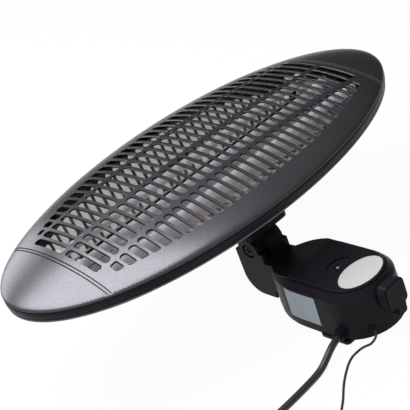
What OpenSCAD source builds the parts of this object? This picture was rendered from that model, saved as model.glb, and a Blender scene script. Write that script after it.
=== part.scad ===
// Wall quartz heater: an oval head with three quartz tubes behind a slotted, domed front,
// tilting on a hinged arm over a small control box that is screwed to the wall.
// Origin: centre of the wall plate's back face. +X runs along the head, +Y up the wall,
// +Z out of the wall.

/* [Head] */
// Length of the oval head
head_len = 460; // [440:1:500]
// Width of the oval head
head_wid = 237; // [225:1:255]
// Height of the domed front above its rim
dome_h = 26; // [22:0.5:32]
// Roundness of the dome, lower is boxier
dome_pow = 0.72; // [0.66:0.01:0.9]
// Depth of the side band below the rim
band_h = 10; // [9:0.5:13]
// Wall of the front cover
cover_t = 2; // [1.6:0.1:2.4]
// Depth of the rear cover behind the band
rear_h = 20; // [19:0.5:24]
// Inset of the rear cover's flat back from the rim
rear_inset = 30; // [26:1:34]
// Wall of the rear cover
rear_t = 1.5; // [1.2:0.1:2]
// Forward tilt of the head at rest
head_tilt = 3; // [0:0.5:6]

/* [Grille] */
// Columns of slots
slot_columns = 32; // [24:1:32]
// Spacing of the columns
slot_pitch = 10.67; // [9.5:0.01:10.8]
// Width of a slot
slot_w = 7.4; // [6:0.1:7.8]
// Spacing of the cross ribs
rib_pitch = 51; // [48:0.5:53]
// Width of a cross rib
rib_w = 4.6; // [3.5:0.1:6]
// Distance from the slotted field's end to the head's tip
field_end_gap = 22; // [20:0.5:30]
// Margin of the head beside the slotted field
field_side_gap = 26.5; // [24:0.5:34]
// Distance of the slotted field below the head's middle
field_drop = 5; // [0:0.5:8]
// Corner radius of the cut outer slots
slot_corner_r = 2.2; // [1.6:0.1:2.8]

/* [Tubes] */
// Diameter of a quartz tube
tube_d = 9.5; // [8.5:0.5:11]
// Bore of a quartz tube
tube_bore = 7.5; // [6.5:0.1:7.7]
// Distance from a tube's end to the head's tip
tube_end_gap = 57; // [55:1:65]
// Spacing of the tubes
tube_pitch = 34; // [30:0.5:36]
// Depth of the tubes' axes behind the rim
tube_depth = 8; // [6:0.5:10]
// Diameter of the heating coil in a tube
coil_d = 5; // [4:0.5:6]
// Diameter of a ceramic end cap
cap_d = 14.5; // [14:0.5:17]
// Length of a ceramic end cap
cap_len = 17; // [14:0.5:18]

/* [Reflector] */
// Gap between the reflector and the rear cover's floor
reflector_gap = 2; // [2:0.25:5]
// Width of the reflector's floor
reflector_floor = 80.5; // [72:0.5:92]
// Gap between the head's rim and the reflector's upper edge
reflector_side_gap = 27.5; // [27:0.5:40]
// Height of the reflector's upper edges above the rim
reflector_top = 6.8; // [3:0.2:7.6]
// Reach of the reflector past a tube's end
reflector_reach = 7; // [5:1:9]
// Sheet of the reflector and the tube holders
sheet_t = 1; // [0.8:0.1:1.4]

/* [Hinge] */
// Height of the hinge axis above the wall plate's middle
hinge_y = 112; // [108:0.5:118]
// Distance of the hinge axis from the wall
hinge_z = 52.7; // [50:0.1:56]
// Distance from the hinge axis up to the head's middle
head_rise = 50; // [44:0.5:54]
// Distance from the hinge axis out to the head's rim
head_stand = 74.5; // [72:0.5:80]
// Radius of the hinge drum under the head
drum_r = 19; // [17:0.25:19.5]
// Radius of the cheeks beside the drum
cheek_r = 13; // [11:0.25:14]
// Thickness of a cheek
cheek_t = 5.5; // [5:0.1:6.5]
// Radius of the pivot bolt
bolt_r = 4; // [3:0.1:5]
// Radial clearance of the pivot bolt
bolt_fit = 0.05; // [0.03:0.01:0.09]
// Radius of the pivot bolt's head
bolt_head_r = 6.8; // [6:0.1:7.2]
// Side clearance of the knuckle in its fork
fork_gap = 0.25; // [0.15:0.05:0.5]

/* [Arm] */
// Width of the arm
arm_w = 34.5; // [33:0.5:38]
// Length of the arm past the hinge axis
arm_back = 18.5; // [18:0.25:19.5]
// Radius of the arm's lower back corner
arm_corner_r = 20; // [14:0.5:22]

/* [Box] */
// Width of the control box
box_w = 77; // [76:0.5:84]
// Distance from the box's middle to the centre of its round end
box_end = 2; // [0:0.5:6]
// Height at which the box starts to narrow towards the arm
box_shoulder = 35; // [30:0.5:38]
// Length over which the box narrows
box_taper = 57; // [55:0.5:62]
// Height of the box's top surface above the wall
box_top = 48.5; // [48:0.1:50]
// Width of the bevel round the top
box_bevel = 6; // [5:0.25:6.5]
// Wall of the control box
box_t = 3; // [2.5:0.1:3.2]
// Thickness of the steel wall plate
plate_t = 3; // [2:0.1:3]
// Height of the wall plate up the wall
plate_h = 34; // [30:1:40]
// Distance from the wall to the seam above the base plate
seam_z = 10.6; // [10:0.1:11]
// Radius of the wall screw holes
wall_hole_r = 2.5; // [2:0.1:3]
// Spacing of the wall screw holes
wall_hole_gap = 56; // [52:1:58]

/* [Lid] */
// Width of the raised lid
lid_w = 62; // [60:0.5:63]
// Height of the lid above the box's top
lid_rise = 2.5; // [1.5:0.1:3]
// Gap round the lid
lid_gap = 0.6; // [0.3:0.1:0.8]
// Length of the blank oval badge
badge_len = 48; // [44:1:50]
// Width of the blank oval badge
badge_wid = 32; // [28:1:33]
// Length of the indicator's oval recess
window_len = 27; // [24:0.5:30]
// Width of the indicator's oval recess
window_wid = 17.4; // [15:0.2:18]

/* [Knob] */
// Width of the selector knob
knob_w = 25; // [22:0.5:27]
// Depth of the selector knob
knob_depth = 10; // [8:0.5:13]
// Distance of the knob's axis from the wall
knob_z = 37; // [36:0.25:38]
// Reach of the knob's pointer below its axis
pointer_len = 22; // [19:0.5:24]
// Radius of the knob's spindle
spindle_r = 3; // [2.5:0.1:3.5]
// Radial clearance of the spindle in the wall
spindle_fit = 0.06; // [0.03:0.01:0.09]

/* [Cords] */
// Diameter of the mains lead
cable_d = 6.5; // [6:0.1:6.6]
// Turns of the put-away mains lead
coil_turns = 7.25; // [4.25:1:7.25]
// Diameter of the pull cord
pull_d = 2.2; // [1.8:0.1:2.3]
// Turns of the put-away pull cord
pull_turns = 4.25; // [2.25:1:4.25]
// Diameter of a plug pin
pin_d = 4.8; // [4:0.1:5]
// Length of a plug pin
pin_len = 19; // [17:0.5:20]
// Distance between the plug pins
pin_gap = 19; // [18:0.5:20]

/* [Hidden] */
$fn = 48;

// Small overlap of cutters past the face they cut
cut = 1;
// Seat between pieces that touch on curved faces
seat = 0.1;

// Head
rim_a = head_len / 2;
rim_b = head_wid / 2;
lip_t = 1.5;
lip_inset = 0.8;
pan_inset = 4;
rear_z = -(band_h + rear_h);
rear_floor_z = rear_z + rear_t;
post_r = 5;
post_from_tip = 42;
post_x = rim_a - post_from_tip;
screw_r = 1.6;
screw_head_r = 3.2;
screw_head_t = 1.8;
pilot_fit = 0.2;
cover_screw_len = 14;

// Grille
slot_r = slot_w / 2;
rib_rise = field_drop / 2;
field_a = rim_a - field_end_gap;
field_b = rim_b - field_side_gap;
shortest_slot = 5.5;

// Reflector and tubes
tube_len = head_len - 2 * tube_end_gap;
reflector_depth = band_h + rear_h - rear_t - reflector_gap;
reflector_wid = 2 * (rim_b - reflector_side_gap);
reflector_len = tube_len + 2 * reflector_reach;
reflector_corner = 90;
reflector_end = 124;
holder_x = tube_len / 2 - cap_len / 2;
holder_rim = 1.5;
holder_edge = 6.75;
holder_wid = 2 * (tube_pitch + cap_d / 2 + holder_edge);
holder_top = -tube_depth + cap_d / 2 + holder_rim;
holder_shoulder = -tube_depth - cap_d / 2 - holder_rim;
holder_foot = -reflector_depth + sheet_t;
holder_flange = 10;
foot_wid = reflector_floor - 8;
spacer_r = 4;
terminal = [8, 16, 9];
reflector_screw_x = 120;
reflector_screw_y = 32;

// Hinge and arm
arm_half = arm_w / 2;
fork_half = arm_half - cheek_t;
knuckle_half = fork_half - fork_gap;
drum_start = -5;
pocket_r = drum_r + 0.8;
bolt_head_t = 2.6;
recess_t = 3;
recess_fit = 0.7;
arm_front = hinge_y - arm_back;
arm_rear = hinge_y + arm_back;
arm_top = hinge_z - 0.7;
ledge_z = 42;
web_t = 3;

// Head bracket
block_w = 52;
block_h = 40;
block_corner_r = 6;
block_z = -(head_stand - drum_r - 1.5);
neck_half = 12;
bracket_bolt_r = 2.5;
bracket_bolt_x = 18;
bracket_bolt_y = 13;
bracket_bolt_len = 16;
bracket_head_r = 4.5;
bracket_head_t = 1.5;

// Box
box_half = box_w / 2;
slope_start = 53;
rim_z = 42.5;
wall_draft = 1.2;
ceiling_t = 3.6;
seam_gap = 0.3;
floor_z = plate_t;
floor_top = plate_t + 3;
lid_seat = 2.4;
lid_half = lid_w / 2;
lid_shoulder = 50;
lid_taper = 38;
lid_bevel = 1.4;
badge_y = -14.5;
badge_t = 1.2;
badge_sink = 0.8;
window_y = 12.5;
window_sink = 1.6;
window_t = 0.6;
lamp_r = 4;
wall_plate_corner = 4;
base_screw_x = 24;
base_screw_low = [22, -18];
base_screw_len = 14;

// Knob and switch
knob_gap = 0.6;
knob_y = -(box_end + box_half) - knob_gap;
knob_corner_r = 6;
knob_bevel = 1.5;
pointer_left = -4;
pointer_right = 8;
press_fit = 0.02;
switch_w = 24;
switch_below = 9;
switch_front = -(box_end + box_half - box_t) + 3.6;
switch_depth = 18;
ceiling_z = box_top - lid_seat - ceiling_t;
nose_r = 5;
nose_len = 1.6;
spindle_in = 9;
supply_block = [32, 16, 14];
supply_block_y = 14;
supply_hole_r = 2.5;
supply_hole_floor = 5;

// Pull cord mechanism, measured outwards from the round end's centre
pull_angle = -124;
pull_z = 10;
bush_r = 2.8;
bush_fit = 0.05;
bush_flange_r = 3.8;
bush_flange_t = 1.5;
bush_in = 5;
cord_clear = 0.35;
anchor_r = 2.5;
anchor_len = 10;
anchor_depth = 26.5;
anchor_start = box_half - anchor_depth;
anchor_fit = 0.4;
pull_switch_back = 8;
pull_switch_start = anchor_start - pull_switch_back;
pull_switch_len = 20;
pull_switch_w = 12;
pull_switch_h = 9;

// Gland, measured outwards from the round end's centre
gland_angle = 194;
gland_z = 12;
gland_r = 5.4;
gland_fit = 0.05;
gland_in = 11.5;
gland_out = 8.85;
gland_start = box_half - gland_in;
gland_mouth = box_half + gland_out;
gland_tip_r = 4.4;
gland_ring = 0.7;
gland_ring_t = 1.2;
gland_ring_pitch = 2.8;

// Cord routes: points chosen by hand, in millimetres
cable_r = cable_d / 2;
cable_route = [
    [-46, -13.5, 12], [-52, -15, 12], [-60, -16.8, 10.6], [-68, -18.2, 7.5], [-76, -19.3, 4.6],
    [-84, -20.2, 3.5], [-94, -21, 3.3], [-104, -21.6, 3.3], [-114, -22, 3.3],
    [-124, -22.2, 3.3], [-134, -22.2, 3.3], [-144, -22, 3.3], [-154, -21.7, 3.3],
    [-164, -21.4, 3.4], [-174, -21.2, 3.7], [-184, -21, 4.1], [-193.5, -21, 4.2]
];
coil_centre = [-200, -71];
coil_out_r = 50;
coil_pitch = 7;
coil_z = 4.2;
pull_r = pull_d / 2;
pull_route = [
    [-23, -36, 10], [-25.2, -39.3, 9.9], [-27.9, -41, 9.1], [-31, -41, 7.6],
    [-34.1, -38.9, 5.3], [-36, -35.4, 3.7], [-38.8, -32.6, 2.5], [-42.2, -31.2, 1.7],
    [-46, -30.7, 1.3], [-49.8, -30.9, 1.2], [-54, -32, 1.2], [-58.4, -33.8, 1.2],
    [-64, -36.8, 1.2], [-70, -40.4, 1.2], [-76.4, -44.6, 1.2], [-83, -49.5, 1.2],
    [-88.5, -54, 1.2], [-94, -58.6, 1.2], [-100, -63, 1.2], [-106, -67, 1.2],
    [-112, -70.6, 1.3], [-118.5, -73.6, 1.7], [-125.8, -75, 2]
];
cord_inside = [for (s = [anchor_start + anchor_len - 4.5, box_half - bush_in, box_half])
    [s * cos(pull_angle), s * sin(pull_angle) - box_end, pull_z]];
pull_coil_centre = [-128, -90];
pull_coil_out_r = 15;
pull_coil_pitch = 2.7;
pull_coil_z = 2;

// Cable ties
tie_t = 0.8;
tie_w = 4;
tie_fit = 0.15;
tie_head = [6, 5, 4];
pull_tie_w = 2.5;
pull_tie_head = [3.6, 3.2, 2.6];
tie_angles = [20, 250];
pull_tie_angles = [20, 250];

// Plug: a moulded oval body lying on its flat side
plug_w = 36;
plug_t = 26;
plug_body_len = 30;
plug_neck_len = 12;
plug_relief_len = 28;
plug_relief_r = 5.2;
plug_tip_r = 4;
plug_z = plug_t / 2;
pull_knob_r = 6;
pull_knob_len = 22;

// Points and shapes used by several pieces
function ellipse_points(a, b, n = 48) =
    [for (i = [0 : n - 1]) [a * cos(360 * i / n), b * sin(360 * i / n)]];

function arc_points(c, r, a0, a1, n) =
    [for (i = [0 : n]) let (a = a0 + (a1 - a0) * i / n) [c[0] + r * cos(a), c[1] + r * sin(a)]];

// Outline with a round lower end and a long elliptical upper end
function pod_outline(half, shoulder, taper, inset) =
    let (w = half - inset)
    concat(
        [for (i = [0 : 18]) let (a = 180 + 10 * i) [w * cos(a), -box_end + w * sin(a)]],
        [for (i = [0 : 24]) let (a = 7.5 * i) [w * cos(a), shoulder + (taper - inset) * sin(a)]]
    );

function box_outline(inset) = pod_outline(box_half, box_shoulder, box_taper, inset);
function lid_outline(inset) = pod_outline(lid_half, lid_shoulder, lid_taper, inset);

module along_x(x0, x1) {
    translate([x0, 0, 0])
        rotate([90, 0, 90])
            linear_extrude(x1 - x0)
                children();
}

module along_minus_y(y0, length) {
    translate([0, y0, 0])
        rotate([90, 0, 0])
            linear_extrude(length)
                children();
}

module rod_x(x0, x1, r) {
    translate([x0, 0, 0])
        rotate([0, 90, 0])
            cylinder(r = r, h = x1 - x0);
}

module rounded_rect(w, h, r) {
    square([w - 2 * r, h], center = true);
    square([w, h - 2 * r], center = true);
    for (x = [-1, 1], y = [-1, 1])
        translate([x * (w / 2 - r), y * (h / 2 - r)])
            circle(r = r);
}

module slab(points, z) {
    translate([0, 0, z])
        linear_extrude(0.01)
            polygon(points);
}

module in_head() {
    translate([0, hinge_y, hinge_z])
        rotate([head_tilt, 0, 0])
            translate([0, head_rise, head_stand])
                children();
}

// Places a +Z axis on a line that leaves the box's round end at the given angle
module from_end(angle, z, s) {
    translate([0, -box_end, z])
        rotate([0, 0, angle])
            rotate([0, 90, 0])
                translate([0, 0, s])
                    children();
}

// Smooth curve through the hand-chosen points of a route
function spline(p, steps) =
    concat(
        [for (i = [0 : len(p) - 2], k = [0 : steps - 1])
            let (
                a = p[max(i - 1, 0)],
                b = p[i],
                c = p[i + 1],
                d = p[min(i + 2, len(p) - 1)],
                t = k / steps
            )
            0.5 * (2 * b + (c - a) * t + (2 * a - 5 * b + 4 * c - d) * t * t
                + (3 * b - a - 3 * c + d) * t * t * t)],
        [p[len(p) - 1]]
    );

function unit(v) = v / norm(v);

// Ring of a swept tube, square to the path
function ring(p, i, r, sides) =
    let (
        t = unit(p[min(i + 1, len(p) - 1)] - p[max(i - 1, 0)]),
        side = unit(cross(t, [0, 0, 1])),
        up = cross(side, t)
    )
    [for (k = [0 : sides - 1])
        let (a = 360 * (k + 0.5) / sides) p[i] + r * (cos(a) * side + sin(a) * up)];

module swept_tube(path, r, sides) {
    n = len(path);
    points = [for (i = [0 : n - 1]) each ring(path, i, r, sides)];
    walls = [for (i = [0 : n - 2], k = [0 : sides - 1])
        let (
            a = i * sides + k,
            b = i * sides + (k + 1) % sides
        )
        each [[a, b, a + sides], [b, b + sides, a + sides]]];
    near_end = [for (k = [1 : sides - 2]) [0, k + 1, k]];
    last = (n - 1) * sides;
    far_end = [for (k = [1 : sides - 2]) [last, last + k, last + k + 1]];
    polyhedron(points, concat(near_end, walls, far_end), convexity = 6);
}

// Piled coil: spirals in on the lower layer, climbs while it turns back, spirals out on top
function ease(t) = let (s = min(max(t, 0), 1)) s * s * (3 - 2 * s);

function coil_point(u, turns, c, out_r, pitch, z0, end_z) =
    let (
        r = out_r - pitch * (turns / 2 - abs(u - turns / 2)),
        a = 90 + 360 * u,
        climb = pitch * ease((u - turns / 2 + 0.25) / 0.5),
        lift = (end_z - z0 - pitch) * ease((u - turns + 0.5) / 0.5)
    )
    [c[0] + r * cos(a), c[1] + r * sin(a), z0 + climb + lift];

function coil_path(turns, c, out_r, pitch, z0, end_z, d) =
    concat(
        [[c[0] + d, c[1] + out_r, z0]],
        [for (i = [0 : 24 * turns]) coil_point(i / 24, turns, c, out_r, pitch, z0, end_z)],
        [[c[0] - out_r, c[1] - d, end_z]]
    );

function least_gap(path, d) =
    min([for (i = [0 : 3 : len(path) - 1], j = [i + 12 : 1 : len(path) - 1])
        norm(path[i] - path[j]) - d]);

cable_coil_path =
    coil_path(coil_turns, coil_centre, coil_out_r, coil_pitch, coil_z, plug_z, cable_d);
pull_coil_path =
    coil_path(pull_turns, pull_coil_centre, pull_coil_out_r, pull_coil_pitch, pull_coil_z,
        pull_knob_r, pull_d);

// Least gap of each coil to itself
echo(cable_coil_gap = least_gap(cable_coil_path, cable_d));
echo(pull_coil_gap = least_gap(pull_coil_path, pull_d));

module tie(c, out_r, in_r, cord_r, top_z, width, head, angle) {
    inside = in_r - cord_r - tie_fit;
    outside = out_r + cord_r + tie_fit;
    height = top_z + cord_r + tie_fit;
    translate([c[0], c[1], 0])
        rotate([0, 0, angle]) {
            difference() {
                translate([inside - tie_t, -width / 2, 0])
                    cube([outside - inside + 2 * tie_t, width, height + tie_t]);
                translate([inside, -width / 2 - cut, tie_t])
                    cube([outside - inside, width + 2 * cut, height - tie_t]);
            }
            translate([outside + tie_t, -head[1] / 2, height / 2 - head[2] / 2])
                cube(head);
        }
}

// Wall side

module wall_plate() {
    color("silver")
        difference() {
            linear_extrude(plate_t)
                rounded_rect(box_w + 2, plate_h, wall_plate_corner);
            for (s = [-1, 1])
                translate([s * wall_hole_gap / 2, 0, -cut])
                    cylinder(r = wall_hole_r, h = plate_t + 2 * cut);
            plate_screw_holes(screw_r + pilot_fit);
        }
}

module at_plate_screws() {
    for (s = [-1, 1])
        translate([0, s * plate_h / 3, 0])
            children();
}

module plate_screw_holes(r) {
    at_plate_screws() {
        translate([0, 0, -cut])
            cylinder(r = r, h = floor_top + 2 * cut);
        translate([0, 0, -cut])
            cylinder(r = screw_head_r + pilot_fit, h = screw_head_t + cut);
    }
}

module plate_screws() {
    color("silver")
        at_plate_screws() {
            translate([0, 0, 0.1])
                cylinder(r = screw_head_r, h = screw_head_t - 0.1);
            cylinder(r = screw_r, h = floor_top - 0.2);
        }
}

module at_base_screws() {
    for (p = [
        base_screw_low - [0, box_end],
        [-base_screw_x, box_shoulder],
        [base_screw_x, box_shoulder]
    ])
        translate([p[0], p[1], 0])
            children();
}

module base_plate() {
    color("dimgray")
        difference() {
            translate([0, 0, floor_z])
                linear_extrude(seam_z - seam_gap - floor_z)
                    polygon(box_outline(0.3));
            translate([0, 0, floor_top])
                linear_extrude(seam_z)
                    polygon(box_outline(box_t));
            for (s = [-1, 1])
                translate([s * wall_hole_gap / 2, 0, 0])
                    cylinder(r = wall_hole_r, h = seam_z);
            plate_screw_holes(screw_r + pilot_fit);
            at_base_screws() {
                cylinder(r = screw_r + pilot_fit, h = seam_z);
                cylinder(r = screw_head_r + pilot_fit, h = floor_z + screw_head_t - 0.4);
            }
            from_end(gland_angle, gland_z, gland_start)
                cylinder(r = gland_r + gland_fit, h = gland_mouth - gland_start);
            from_end(pull_angle, pull_z, 0)
                translate([0, 0, box_half - box_t - cut])
                    cylinder(r = bush_r + bush_fit, h = box_t + 2 * cut);
        }
}

module base_screws() {
    color("silver")
        at_base_screws() {
            translate([0, 0, floor_z + 0.1])
                cylinder(r = screw_head_r, h = screw_head_t - 0.5);
            translate([0, 0, floor_z + 0.1])
                cylinder(r = screw_r, h = base_screw_len);
        }
}

// Profile of the arm in the plane across the hinge axis
function arm_profile() =
    concat(
        [
            [slope_start, seam_z],
            [slope_start, box_top - ceiling_t],
            [arm_front, ledge_z],
            [arm_front, arm_top],
            [arm_rear, arm_top]
        ],
        arc_points([arm_rear - arm_corner_r, arm_corner_r + floor_z], arm_corner_r, 0, -90, 12),
        [
            [box_shoulder + box_taper + 0.6, floor_z],
            [box_shoulder + box_taper + 0.6, seam_z]
        ]
    );

module cheeks() {
    for (x = [-arm_half, fork_half])
        translate([0, hinge_y, hinge_z])
            rod_x(x, x + cheek_t, cheek_r);
}

// Height line of the box's top surface, raised by the given amount
function top_line(rise) = [
    [-box_end - box_half - cut, box_top + rise],
    [slope_start, box_top + rise],
    [arm_front, ledge_z + rise]
];

module above_line(rise) {
    along_x(-box_half - cut, box_half + cut)
        polygon(concat(
            top_line(rise),
            [[arm_front, 2 * box_top], [-box_end - box_half - cut, 2 * box_top]]
        ));
}

module housing_shell() {
    difference() {
        union() {
            hull() {
                slab(box_outline(0), seam_z);
                slab(box_outline(wall_draft), rim_z);
            }
            hull() {
                slab(box_outline(wall_draft), rim_z);
                slab(box_outline(box_bevel), box_top - 0.01);
            }
        }
        above_line(0);
        intersection() {
            translate([0, 0, seam_z - cut])
                linear_extrude(box_top)
                    polygon(box_outline(box_t + wall_draft));
            along_x(-box_half, box_half)
                polygon([
                    [-box_end - box_half, seam_z - cut],
                    [arm_front - arm_back, seam_z - cut],
                    [arm_front - arm_back, ledge_z - ceiling_t],
                    [slope_start, ceiling_z],
                    [-box_end - box_half, ceiling_z]
                ]);
        }
    }
}

module base_screw_posts() {
    at_base_screws()
        translate([0, 0, seam_z])
            cylinder(r = post_r, h = ceiling_z - seam_z + cut);
}

module housing() {
    color("#1b1a1f")
        difference() {
            union() {
                housing_shell();
                base_screw_posts();
                along_x(-arm_half, arm_half)
                    polygon(arm_profile());
                cheeks();
            }
            intersection() {
                linear_extrude(box_top + lid_rise)
                    polygon(lid_outline(-lid_gap));
                above_line(-lid_seat);
            }
            translate([0, hinge_y, hinge_z]) {
                rod_x(-fork_half, fork_half, pocket_r);
                rod_x(-arm_half - cut, arm_half + cut, bolt_r + bolt_fit);
                rod_x(-arm_half - cut, -arm_half + recess_t, bolt_head_r + recess_fit);
                rod_x(arm_half - recess_t, arm_half + cut, bolt_head_r + recess_fit);
            }
            translate([-fork_half, arm_front - cut, ledge_z + web_t])
                cube([2 * fork_half, cut + web_t, arm_top - ledge_z]);
            at_base_screws()
                cylinder(r = screw_r + pilot_fit, h = floor_z + base_screw_len + 2);
            from_end(gland_angle, gland_z, gland_start)
                cylinder(r = gland_r + gland_fit, h = gland_mouth - gland_start);
            from_end(pull_angle, pull_z, 0)
                translate([0, 0, box_half - box_t - wall_draft - cut])
                    cylinder(r = bush_r + bush_fit, h = box_t + wall_draft + 2 * cut);
            translate([0, 0, knob_z])
                rotate([90, 0, 0])
                    cylinder(r = spindle_r + spindle_fit, h = box_end + box_half + cut);
        }
}

module lid() {
    color("#1f1e23")
        difference() {
            intersection() {
                union() {
                    linear_extrude(box_top + lid_rise - lid_bevel)
                        polygon(lid_outline(0));
                    hull() {
                        slab(lid_outline(0), box_top + lid_rise - lid_bevel - 0.01);
                        slab(lid_outline(lid_bevel), box_top + lid_rise - 0.01);
                    }
                }
                along_x(-lid_half, lid_half)
                    polygon(concat(
                        top_line(-lid_seat),
                        [
                            [arm_front, ledge_z + 0.4],
                            [lid_shoulder - 5, box_top + lid_rise],
                            [-box_end - box_half - cut, box_top + lid_rise]
                        ]
                    ));
            }
            translate([0, badge_y, box_top + lid_rise - badge_sink])
                linear_extrude(badge_t)
                    polygon(ellipse_points(badge_len / 2 + seat, badge_wid / 2 + seat));
            translate([0, window_y, box_top + lid_rise - window_sink])
                linear_extrude(window_sink + cut)
                    polygon(ellipse_points(window_len / 2, window_wid / 2));
            translate([0, window_y, 0])
                cylinder(r = lamp_r + seat, h = box_top + lid_rise + cut);
        }
}

module badge_plate() {
    color("lightgray")
        translate([0, badge_y, box_top + lid_rise - badge_sink])
            linear_extrude(badge_t)
                polygon(ellipse_points(badge_len / 2, badge_wid / 2));
}

module indicator_window() {
    color("#15151a")
        translate([0, window_y, box_top + lid_rise - window_sink])
            difference() {
                linear_extrude(window_t)
                    polygon(ellipse_points(window_len / 2 - seat, window_wid / 2 - seat));
                translate([0, 0, -cut])
                    cylinder(r = lamp_r + seat, h = window_t + 2 * cut);
            }
}

module indicator_lamp() {
    color("#2a2a30")
        translate([0, window_y, box_top - lid_seat]) {
            cylinder(r = lamp_r, h = lid_seat + lid_rise - 0.6);
            translate([0, 0, lid_seat + lid_rise - 0.6])
                cylinder(r1 = lamp_r, r2 = lamp_r - 1.2, h = 0.8);
        }
}

module pivot_bolt() {
    color("silver")
        translate([0, hinge_y, hinge_z]) {
            rod_x(-arm_half + recess_t - bolt_head_t, -arm_half + recess_t, bolt_head_r);
            rod_x(-arm_half + recess_t - 0.1, arm_half - 0.4, bolt_r);
        }
}

module pivot_nut() {
    color("silver")
        translate([0, hinge_y, hinge_z])
            difference() {
                translate([arm_half - recess_t, 0, 0])
                    rotate([0, 90, 0])
                        cylinder(r = bolt_head_r, h = recess_t - 0.2, $fn = 6);
                rod_x(0, arm_half + cut, bolt_r + press_fit);
            }
}

module rotary_switch() {
    color("ivory")
        difference() {
            union() {
                translate([-switch_w / 2, switch_front, knob_z - switch_below])
                    cube([switch_w, switch_depth, ceiling_z - seat - knob_z + switch_below]);
                translate([0, switch_front + cut, knob_z])
                    rotate([90, 0, 0])
                        cylinder(r = nose_r, h = nose_len + cut);
            }
            translate([0, switch_front + spindle_in, knob_z])
                rotate([90, 0, 0])
                    cylinder(r = spindle_r + spindle_fit, h = spindle_in + 3);
        }
}

module pull_switch() {
    color("ivory")
        translate([0, -box_end, 0])
            rotate([0, 0, pull_angle])
                difference() {
                    translate([pull_switch_start, -pull_switch_w / 2, floor_top])
                        cube([pull_switch_len, pull_switch_w, pull_switch_h]);
                    translate([pull_switch_start + 4, 0, pull_z])
                        rotate([0, 90, 0])
                            cylinder(r = anchor_r + anchor_fit, h = pull_switch_len);
                }
}

module pull_bush() {
    color("#202024")
        difference() {
            union() {
                from_end(pull_angle, pull_z, box_half - bush_in)
                    cylinder(r = bush_r, h = bush_in + 0.2);
                from_end(pull_angle, pull_z, box_half + seat)
                    cylinder(r = bush_flange_r, h = bush_flange_t);
            }
            from_end(pull_angle, pull_z, 0)
                cylinder(r = pull_r + cord_clear, h = box_half + bush_flange_t + 2 * cut);
        }
}

module terminal_block() {
    color("ivory")
        difference() {
            translate([-supply_block[0] / 2, supply_block_y, floor_top])
                cube(supply_block);
            for (i = [-1 : 1])
                translate([
                    i * supply_block[0] / 3,
                    supply_block_y + supply_block[1] / 2,
                    floor_top + supply_hole_floor
                ])
                    cylinder(r = supply_hole_r, h = supply_block[2]);
        }
}

module cable_gland() {
    color("#1d1c20")
        difference() {
            from_end(gland_angle, gland_z, gland_start)
                rotate_extrude()
                    polygon(concat(
                        [
                            [0, 0],
                            [gland_r, 0],
                            [gland_r, box_half - gland_start + 0.6]
                        ],
                        [for (i = [0 : 2])
                            let (s = box_half - gland_start + 0.6 + i * gland_ring_pitch)
                            each [
                                [gland_r + gland_ring - 0.3 * i, s],
                                [gland_r + gland_ring - 0.3 * i, s + gland_ring_t],
                                [gland_r - 0.2 - 0.3 * i, s + gland_ring_t]
                            ]],
                        [
                            [gland_tip_r, gland_mouth - gland_start],
                            [0, gland_mouth - gland_start]
                        ]
                    ));
        }
}

module mains_cable() {
    color("#18171b")
        swept_tube(spline(cable_route, 2), cable_r, 12);
}

module cable_coil() {
    color("#18171b")
        swept_tube(cable_coil_path, cable_r, 6);
}

module cable_tie() {
    color("#222226")
        for (a = tie_angles)
            tie(coil_centre, coil_out_r, coil_out_r - coil_pitch * coil_turns / 2, cable_r,
                coil_z + coil_pitch, tie_w, tie_head, a);
}

// The plug points along -Y from the end of the coil
module at_plug() {
    translate([coil_centre[0] - coil_out_r, coil_centre[1] - cable_d, plug_z])
        rotate([90, 0, 0])
            children();
}

module plug() {
    color("#1a1a1e")
        at_plug() {
            rotate_extrude()
                polygon([
                    [0, 0],
                    [plug_tip_r, 0],
                    [plug_relief_r, plug_relief_len],
                    [0, plug_relief_len]
                ]);
            hull() {
                translate([0, 0, plug_relief_len])
                    cylinder(r = plug_relief_r + 2, h = 0.01, $fn = 32);
                translate([0, 0, plug_relief_len + plug_neck_len])
                    linear_extrude(0.01)
                        polygon(ellipse_points(plug_w / 2, plug_t / 2, 32));
            }
            translate([0, 0, plug_relief_len + plug_neck_len])
                linear_extrude(plug_body_len - plug_neck_len)
                    polygon(ellipse_points(plug_w / 2, plug_t / 2, 32));
        }
}

module plug_pins() {
    color("silver")
        at_plug()
            for (s = [-1, 1])
                translate([s * pin_gap / 2, 0, plug_relief_len + plug_body_len])
                    cylinder(d = pin_d, h = pin_len);
}

// Head

function dome_profile(h, floor, rings) =
    concat(
        [[0, -floor], [1, -floor]],
        [for (i = [0 : rings])
            let (a = 90 * i / rings) [cos(a), h * pow(sin(a), 2 * dome_pow)]]
    );

module dome_solid(a, b, h, floor, rings, sides) {
    scale([a, b, 1])
        rotate_extrude($fn = sides)
            polygon(dome_profile(h, floor, rings));
}

// Edge of the slotted field at x, on the upper or lower side
function field_edge(x, side) =
    -field_drop + side * field_b * sqrt(max(0, 1 - pow(x / field_a, 2)));

module inner_slot(x, y0, y1) {
    hull() {
        translate([x, y0 + slot_r])
            circle(r = slot_r, $fn = 8);
        translate([x, y1 - slot_r])
            circle(r = slot_r, $fn = 8);
    }
}

// A slot from a rib out to the edge of the field, its outer end cut along the oval
module outer_slot(x, rib_y, side) {
    edge_in = slot_r - slot_corner_r;
    hull() {
        if (abs(field_edge(x, side) - rib_y) > 2 * slot_w)
            translate([x, rib_y + side * slot_r])
                circle(r = slot_r, $fn = 8);
        else
            for (s = [-1, 1])
                translate([x + s * edge_in, rib_y + side * slot_corner_r])
                    circle(r = slot_corner_r, $fn = 8);
        for (s = [-1, 1])
            translate([
                x + s * edge_in,
                field_edge(x + s * edge_in, side) - side * slot_corner_r
            ])
                circle(r = slot_corner_r, $fn = 8);
    }
}

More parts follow.
